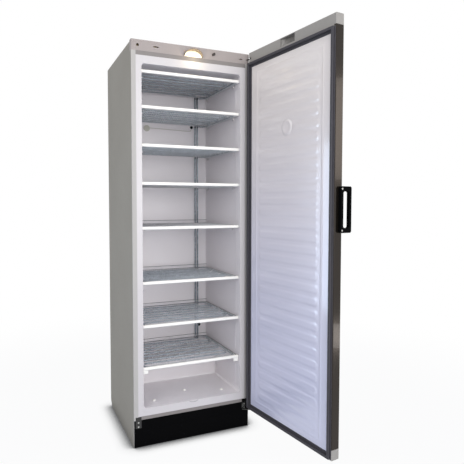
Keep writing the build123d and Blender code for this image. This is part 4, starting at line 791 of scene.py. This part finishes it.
def panel_height(across, up):
    """How far the door's inner panel stands out of the door at a point."""
    lowest = RIB_MIDDLE - (RIB_COUNT - 1) / 2 * RIB_PITCH
    rib = min(RIB_COUNT - 1, max(0, round((up - lowest) / RIB_PITCH)))
    rib_z = lowest + rib * RIB_PITCH
    rib_end = RIB_HALF * 0.8
    beyond = max(RIB_FROM + rib_end - across, across - (RIB_FROM + RIB_LENGTH - rib_end), 0.0)
    distance = math.hypot(beyond, up - rib_z)
    height = RIB_RISE * (1 - eased(distance, RIB_CREST, RIB_HALF))
    border = max(
        abs(across - BEAD_MIDDLE) - BEAD_HALF_WIDTH, abs(up - RIB_MIDDLE) - BEAD_HALF_HEIGHT)
    height = max(height, BEAD_RISE * (1 - eased(abs(border), BEAD_CREST, BEAD_HALF)))
    ring = math.hypot(across - DOOR_WIDTH / 2, up - BOSS_Z)
    boss = BOSS_RISE * (1 - eased(ring, BOSS_RADIUS - BOSS_SLOPE, BOSS_RADIUS))
    boss -= DISH_DEPTH * (1 - eased(ring, DISH_FLOOR, DISH_RIM))
    return max(height * eased(ring, BOSS_RADIUS - BOSS_CLEARANCE, BOSS_RADIUS + BOSS_CLEARANCE), boss)


def stepped(start, stop, step):
    """Places from start to just before stop, in equal steps of about this length."""
    count = max(1, round((stop - start) / step))
    return [start + (stop - start) * i / count for i in range(count)]


# The panel's columns of points lie close together at the ribs' ends, the bead and the boss.
PANEL_FAR = DOOR_WIDTH - PANEL_IN
COLUMN_BANDS = (
    (PANEL_IN, 60, 12), (60, 126, 2.2), (126, 256, 26), (256, 339, 3.2), (339, 476, 27),
    (476, 532, 2.2), (532, PANEL_FAR, 12))
ROW_STEP = 3.3
PANEL_BACK = -1.4

columns = [place for band in COLUMN_BANDS for place in stepped(*band)] + [PANEL_FAR]
rows = stepped(PANEL_BOTTOM, PANEL_TOP, ROW_STEP) + [PANEL_TOP]
points, faces = [], []
for up in rows:
    for across in columns:
        points.append(on_door(across, up, panel_height(across, up)))
wide = len(columns)
for r in range(len(rows) - 1):
    for c in range(wide - 1):
        a = r * wide + c
        faces.append((a, a + 1, a + wide + 1, a + wide))
base = len(points)
for up in (PANEL_BOTTOM, PANEL_TOP):
    for across in (PANEL_IN, PANEL_FAR):
        points.append(on_door(across, up, PANEL_BACK))
bottom_edge, top_edge = range(wide), range(base - wide, base)
hinge_edge, free_edge = range(0, base, wide), range(wide - 1, base, wide)
for edge, first, last in (
        (bottom_edge, base, base + 1), (top_edge, base + 2, base + 3),
        (hinge_edge, base, base + 2), (free_edge, base + 1, base + 3)):
    faces.append((*edge, last, first))
faces.append((base, base + 1, base + 3, base + 2))
panel = shaped(points, faces, 55)
panel.materials.append(door_white.material)
set_piece("door_inner_panel", panel, "door", "white_trim", "door_panel")

GASKET_SECTION = (
    (3.0, 0.0), (27.0, 0.0), (27.0, 1.4), (25.4, 2.3), (19.0, 2.9), (15.6, 3.3), (14.8, 4.2), (16.0, 5.2),
    (16.0, 6.0), (14.4, 7.0), (14.4, 8.0), (15.8, 9.0), (16.9, 9.8), (16.9, 13.4), (16.0, 14.3),
    (14.6, 14.7), (7.4, 14.7), (6.0, 14.3), (5.1, 13.4), (5.1, 9.8), (6.2, 9.0), (7.6, 8.0),
    (7.6, 7.0), (6.0, 6.0), (6.0, 5.2), (7.2, 4.2), (6.6, 3.3), (4.2, 2.7), (3.0, 1.8))
GASKET_RISE = 3.0
GASKET_DROP = 48.0

gasket_foot = DOOR_BOTTOM + GASKET_RISE
gasket_head = DOOR_TOP - GASKET_DROP
points, faces = [], []
for near_x, near_z in ((1, 1), (-1, 1), (-1, -1), (1, -1)):
    for inset, raised in GASKET_SECTION:
        across = inset if near_x > 0 else DOOR_WIDTH - inset
        up = gasket_foot + inset if near_z > 0 else gasket_head - inset
        points.append(on_door(across, up, raised))
section = len(GASKET_SECTION)
for corner in range(4):
    for step in range(section):
        a, b = corner * section + step, corner * section + (step + 1) % section
        c, d = (b + section) % (4 * section), (a + section) % (4 * section)
        faces.append((a, b, c, d))
set_piece("door_seal", shaped(points, faces, 50), "door", "gasket_rubber", "door_gasket")

# ---------------------------------------------------------------- solids with softened edges

SOFTENED = {
    "side_panel_left": 0.3, "side_panel_right": 0.3, "top_panel": 0.3, "rear_panel": 0.3,
    "liner": 0.0, "front_frame": 1.0, "front_rails": 0.6, "bottom_rail": 0.7, "plinth": 0.7,
    "top_fascia": 0.5, "lamp_hood": 0.5, "lamp_lens": 0.4, "lamp_bulb": 0.0, "lamp_holder": 0.4,
    "switch_body": 0.4, "switch_plunger": 0.0, "shelf_trims": 0.9, "shelf_pegs": 1.0,
    "sensor_disc": 0.0, "sensor_lead": 0.0, "liner_plugs": 1.2, "base_pan": 0.3, "foot_left": 0.8,
    "foot_right": 0.8, "roller_axles": 0.4, "roller_left": 0.8, "roller_right": 0.8,
    "compressor_mounts": 1.6, "compressor": 0.8, "relay_cover": 0.0, "drip_tray": 0.5,
    "hinge_bracket_lower": 0.5, "reversing_plate": 0.5, "hinge_bracket_upper": 0.4,
    "hinge_pins": 0.3, "door_skin": 0.2, "door_top_cap": 0.5, "door_bottom_cap": 0.5,
    "lamp_recess": 0.2, "door_handle": 0.8,
}
OWN_FINISH = {
    "shelf_trims": shelf_white, "lamp_hood": hood_plastic, "hinge_pins": oiled_steel,
    "lamp_recess": recess_steel,
}
HEXAGONS = ("shelf_pegs", "sensor_lead")
FLAT_ANGLE = 0.6
BEVEL_ANGLE = 38.0
SHARP_ANGLE = 50.0
HEXAGON_ANGLE = 62.0


def softened(name, radius):
    """A copy of a solid with its flats merged, its sharp edges rounded and its curves smooth."""
    mesh = bpy.data.meshes.new(name)
    form = bmesh.new()
    form.from_mesh(nodes[name].data)
    bmesh.ops.remove_doubles(form, verts=form.verts, dist=1e-6)
    bmesh.ops.dissolve_limit(
        form, angle_limit=math.radians(FLAT_ANGLE), verts=form.verts, edges=form.edges,
        use_dissolve_boundaries=False)
    form.to_mesh(mesh)
    form.free()
    for face in mesh.polygons:
        face.use_smooth = True
    sharp = HEXAGON_ANGLE if name in HEXAGONS else SHARP_ANGLE
    mesh.set_sharp_from_angle(angle=math.radians(sharp))

    def modify(blank):
        if radius:
            edge = blank.modifiers.new("edge", "BEVEL")
            edge.width = radius * MM
            edge.segments = 2
            edge.limit_method = "ANGLE"
            edge.angle_limit = math.radians(BEVEL_ANGLE)
            edge.harden_normals = True
        even = blank.modifiers.new("even", "WEIGHTED_NORMAL")
        even.keep_sharp = True
        even.weight = 100
    return worked_mesh(mesh, modify)


for name, radius in SOFTENED.items():
    mesh = softened(name, radius)
    mesh.materials.clear()
    mesh.materials.append(OWN_FINISH.get(name, FINISHES[slot_of[name]]).material)
    set_piece(f"{name}_form", mesh, body_of[name], slot_of[name], name)

# ---------------------------------------------------------------- floor, light and camera

FLOOR_RADIUS = 9.0
SHADE_REACH = 0.085
SHADED = 0.45
OPEN = 0.97
FAR_FLOOR = (1.2, 3.0)

floor_mesh = bpy.data.meshes.new("floor")
floor_form = bmesh.new()
bmesh.ops.create_circle(floor_form, cap_ends=True, segments=64, radius=FLOOR_RADIUS)
floor_form.to_mesh(floor_mesh)
floor_form.free()
floor = bpy.data.objects.new("floor", floor_mesh)
bpy.context.scene.collection.objects.link(floor)


def backdrop_rays(tree):
    """1 for the rays that see the backdrop: the camera's own, and those in metal, gloss and glass."""
    rays = tree.node("ShaderNodeLightPath").outputs
    return Value(rays["Is Camera Ray"]).or_more(rays["Is Glossy Ray"]).or_more(rays["Is Transmission Ray"])


ground = Finish("ground", (0.44, 0.5, 0.62), 0.8)
openness = ground.node("ShaderNodeAmbientOcclusion", {"samples": 8}, {"Distance": SHADE_REACH})
open_air = ground.step(Value(openness.outputs["AO"]), SHADED, OPEN)
paper = ground.node("ShaderNodeEmission", (), {"Strength": open_air * 0.9 + 0.1})
distance = ground.node("ShaderNodeVectorMath", {"operation": "LENGTH"}, {0: ground.place})
far = ground.step(Value(distance.outputs["Value"]), *FAR_FLOOR)
cover = ground.node("ShaderNodeMixShader", (), {
    0: backdrop_rays(ground) * (0.95 + far * 0.05), 1: ground.shader.outputs[0], 2: paper.outputs[0]})
ground.tree.links.new(cover.outputs[0], ground.tree.nodes["Material Output"].inputs[0])
floor_mesh.materials.append(ground.material)

world = bpy.data.worlds.new("studio")
bpy.context.scene.world = world
world.use_nodes = True
sky = Tree(world.node_tree)
sky.tree.nodes.clear()
lamps = sky.node("ShaderNodeBackground", (), {"Color": (0.93, 0.95, 1.0), "Strength": 0.42})
white = sky.node("ShaderNodeBackground", (), {"Color": (1, 1, 1), "Strength": 1.0})
both = sky.node("ShaderNodeMixShader", (), {0: backdrop_rays(sky), 1: lamps.outputs[0], 2: white.outputs[0]})
sky.tree.links.new(both.outputs[0], sky.node("ShaderNodeOutputWorld").inputs[0])


def soft_box(name, place, aim, size, watts, colour=(1, 1, 1)):
    """A soft studio lamp that looks at a point."""
    light = bpy.data.lights.new(name, "AREA")
    light.shape = "RECTANGLE"
    light.size, light.size_y = size
    light.energy = watts
    light.color = colour
    lamp = bpy.data.objects.new(name, light)
    lamp.location = place
    lamp.rotation_euler = (Vector(aim) - Vector(place)).to_track_quat("-Z", "Y").to_euler()
    lamp.visible_camera = False
    bpy.context.scene.collection.objects.link(lamp)
    return lamp


soft_box("front_box", place=(0.2, -3.6, 1.5), aim=(0.0, 0.0, 1.0), size=(3.2, 2.2), watts=86)
soft_box(
    "left_box", place=(-2.8, -2.0, 2.4), aim=(0.0, 0.2, 1.1), size=(1.8, 2.2), watts=34,
    colour=(0.97, 0.98, 1.0))
soft_box("top_box", place=(0.0, -0.8, 4.0), aim=(0.0, 0.0, 0.6), size=(2.4, 2.4), watts=18)

# The cards are seen only as reflections, in the door's white panel and along its free edge.
cards = (
    soft_box(
        "cool_card", place=(-2.3, 1.5, 0.9), aim=(0.35, -0.55, 0.9), size=(1.0, 1.8), watts=30,
        colour=(0.66, 0.8, 1.0)),
    soft_box(
        "edge_card_high", place=(1.55, -1.6, 1.66), aim=(0.37, -0.62, 1.4), size=(0.5, 0.7), watts=3.0,
        colour=(1.0, 0.94, 0.88)),
    soft_box(
        "edge_card_low", place=(1.55, -1.6, 0.2), aim=(0.37, -0.62, 0.6), size=(0.5, 0.17), watts=1.2),
)
for card in cards:
    card.visible_diffuse = False

# The part's own lamp lights the front frame under it.
lamp_light = bpy.data.lights.new("lamp_glow", "POINT")
lamp_light.energy = 0.13
lamp_light.color = (1.0, 0.86, 0.55)
lamp_light.shadow_soft_size = 0.006
lamp_glow = bpy.data.objects.new("lamp_glow", lamp_light)
lamp_glow.location = (0.0, -0.045, 1.818)
lamp_glow.visible_camera = False
lamp_glow.visible_glossy = False
bpy.context.scene.collection.objects.link(lamp_glow)

CAMERA_PLACE = (-0.8161, -2.15695, 1.1347)
CAMERA_DOWN = 2.725
CAMERA_RIGHT = 23.477

camera_data = bpy.data.cameras.new("camera")
camera_data.lens = 37.236
camera_data.sensor_width = 36.0
camera_data.shift_x = 0.0334
camera_data.shift_y = -0.00927
camera_data.clip_start = 0.05
camera = bpy.data.objects.new("camera", camera_data)
camera.location = CAMERA_PLACE
camera.rotation_euler = (math.radians(90 - CAMERA_DOWN), 0.0, math.radians(-CAMERA_RIGHT))
bpy.context.scene.collection.objects.link(camera)
bpy.context.scene.camera = camera
bpy.context.scene.view_settings.view_transform = "Standard"
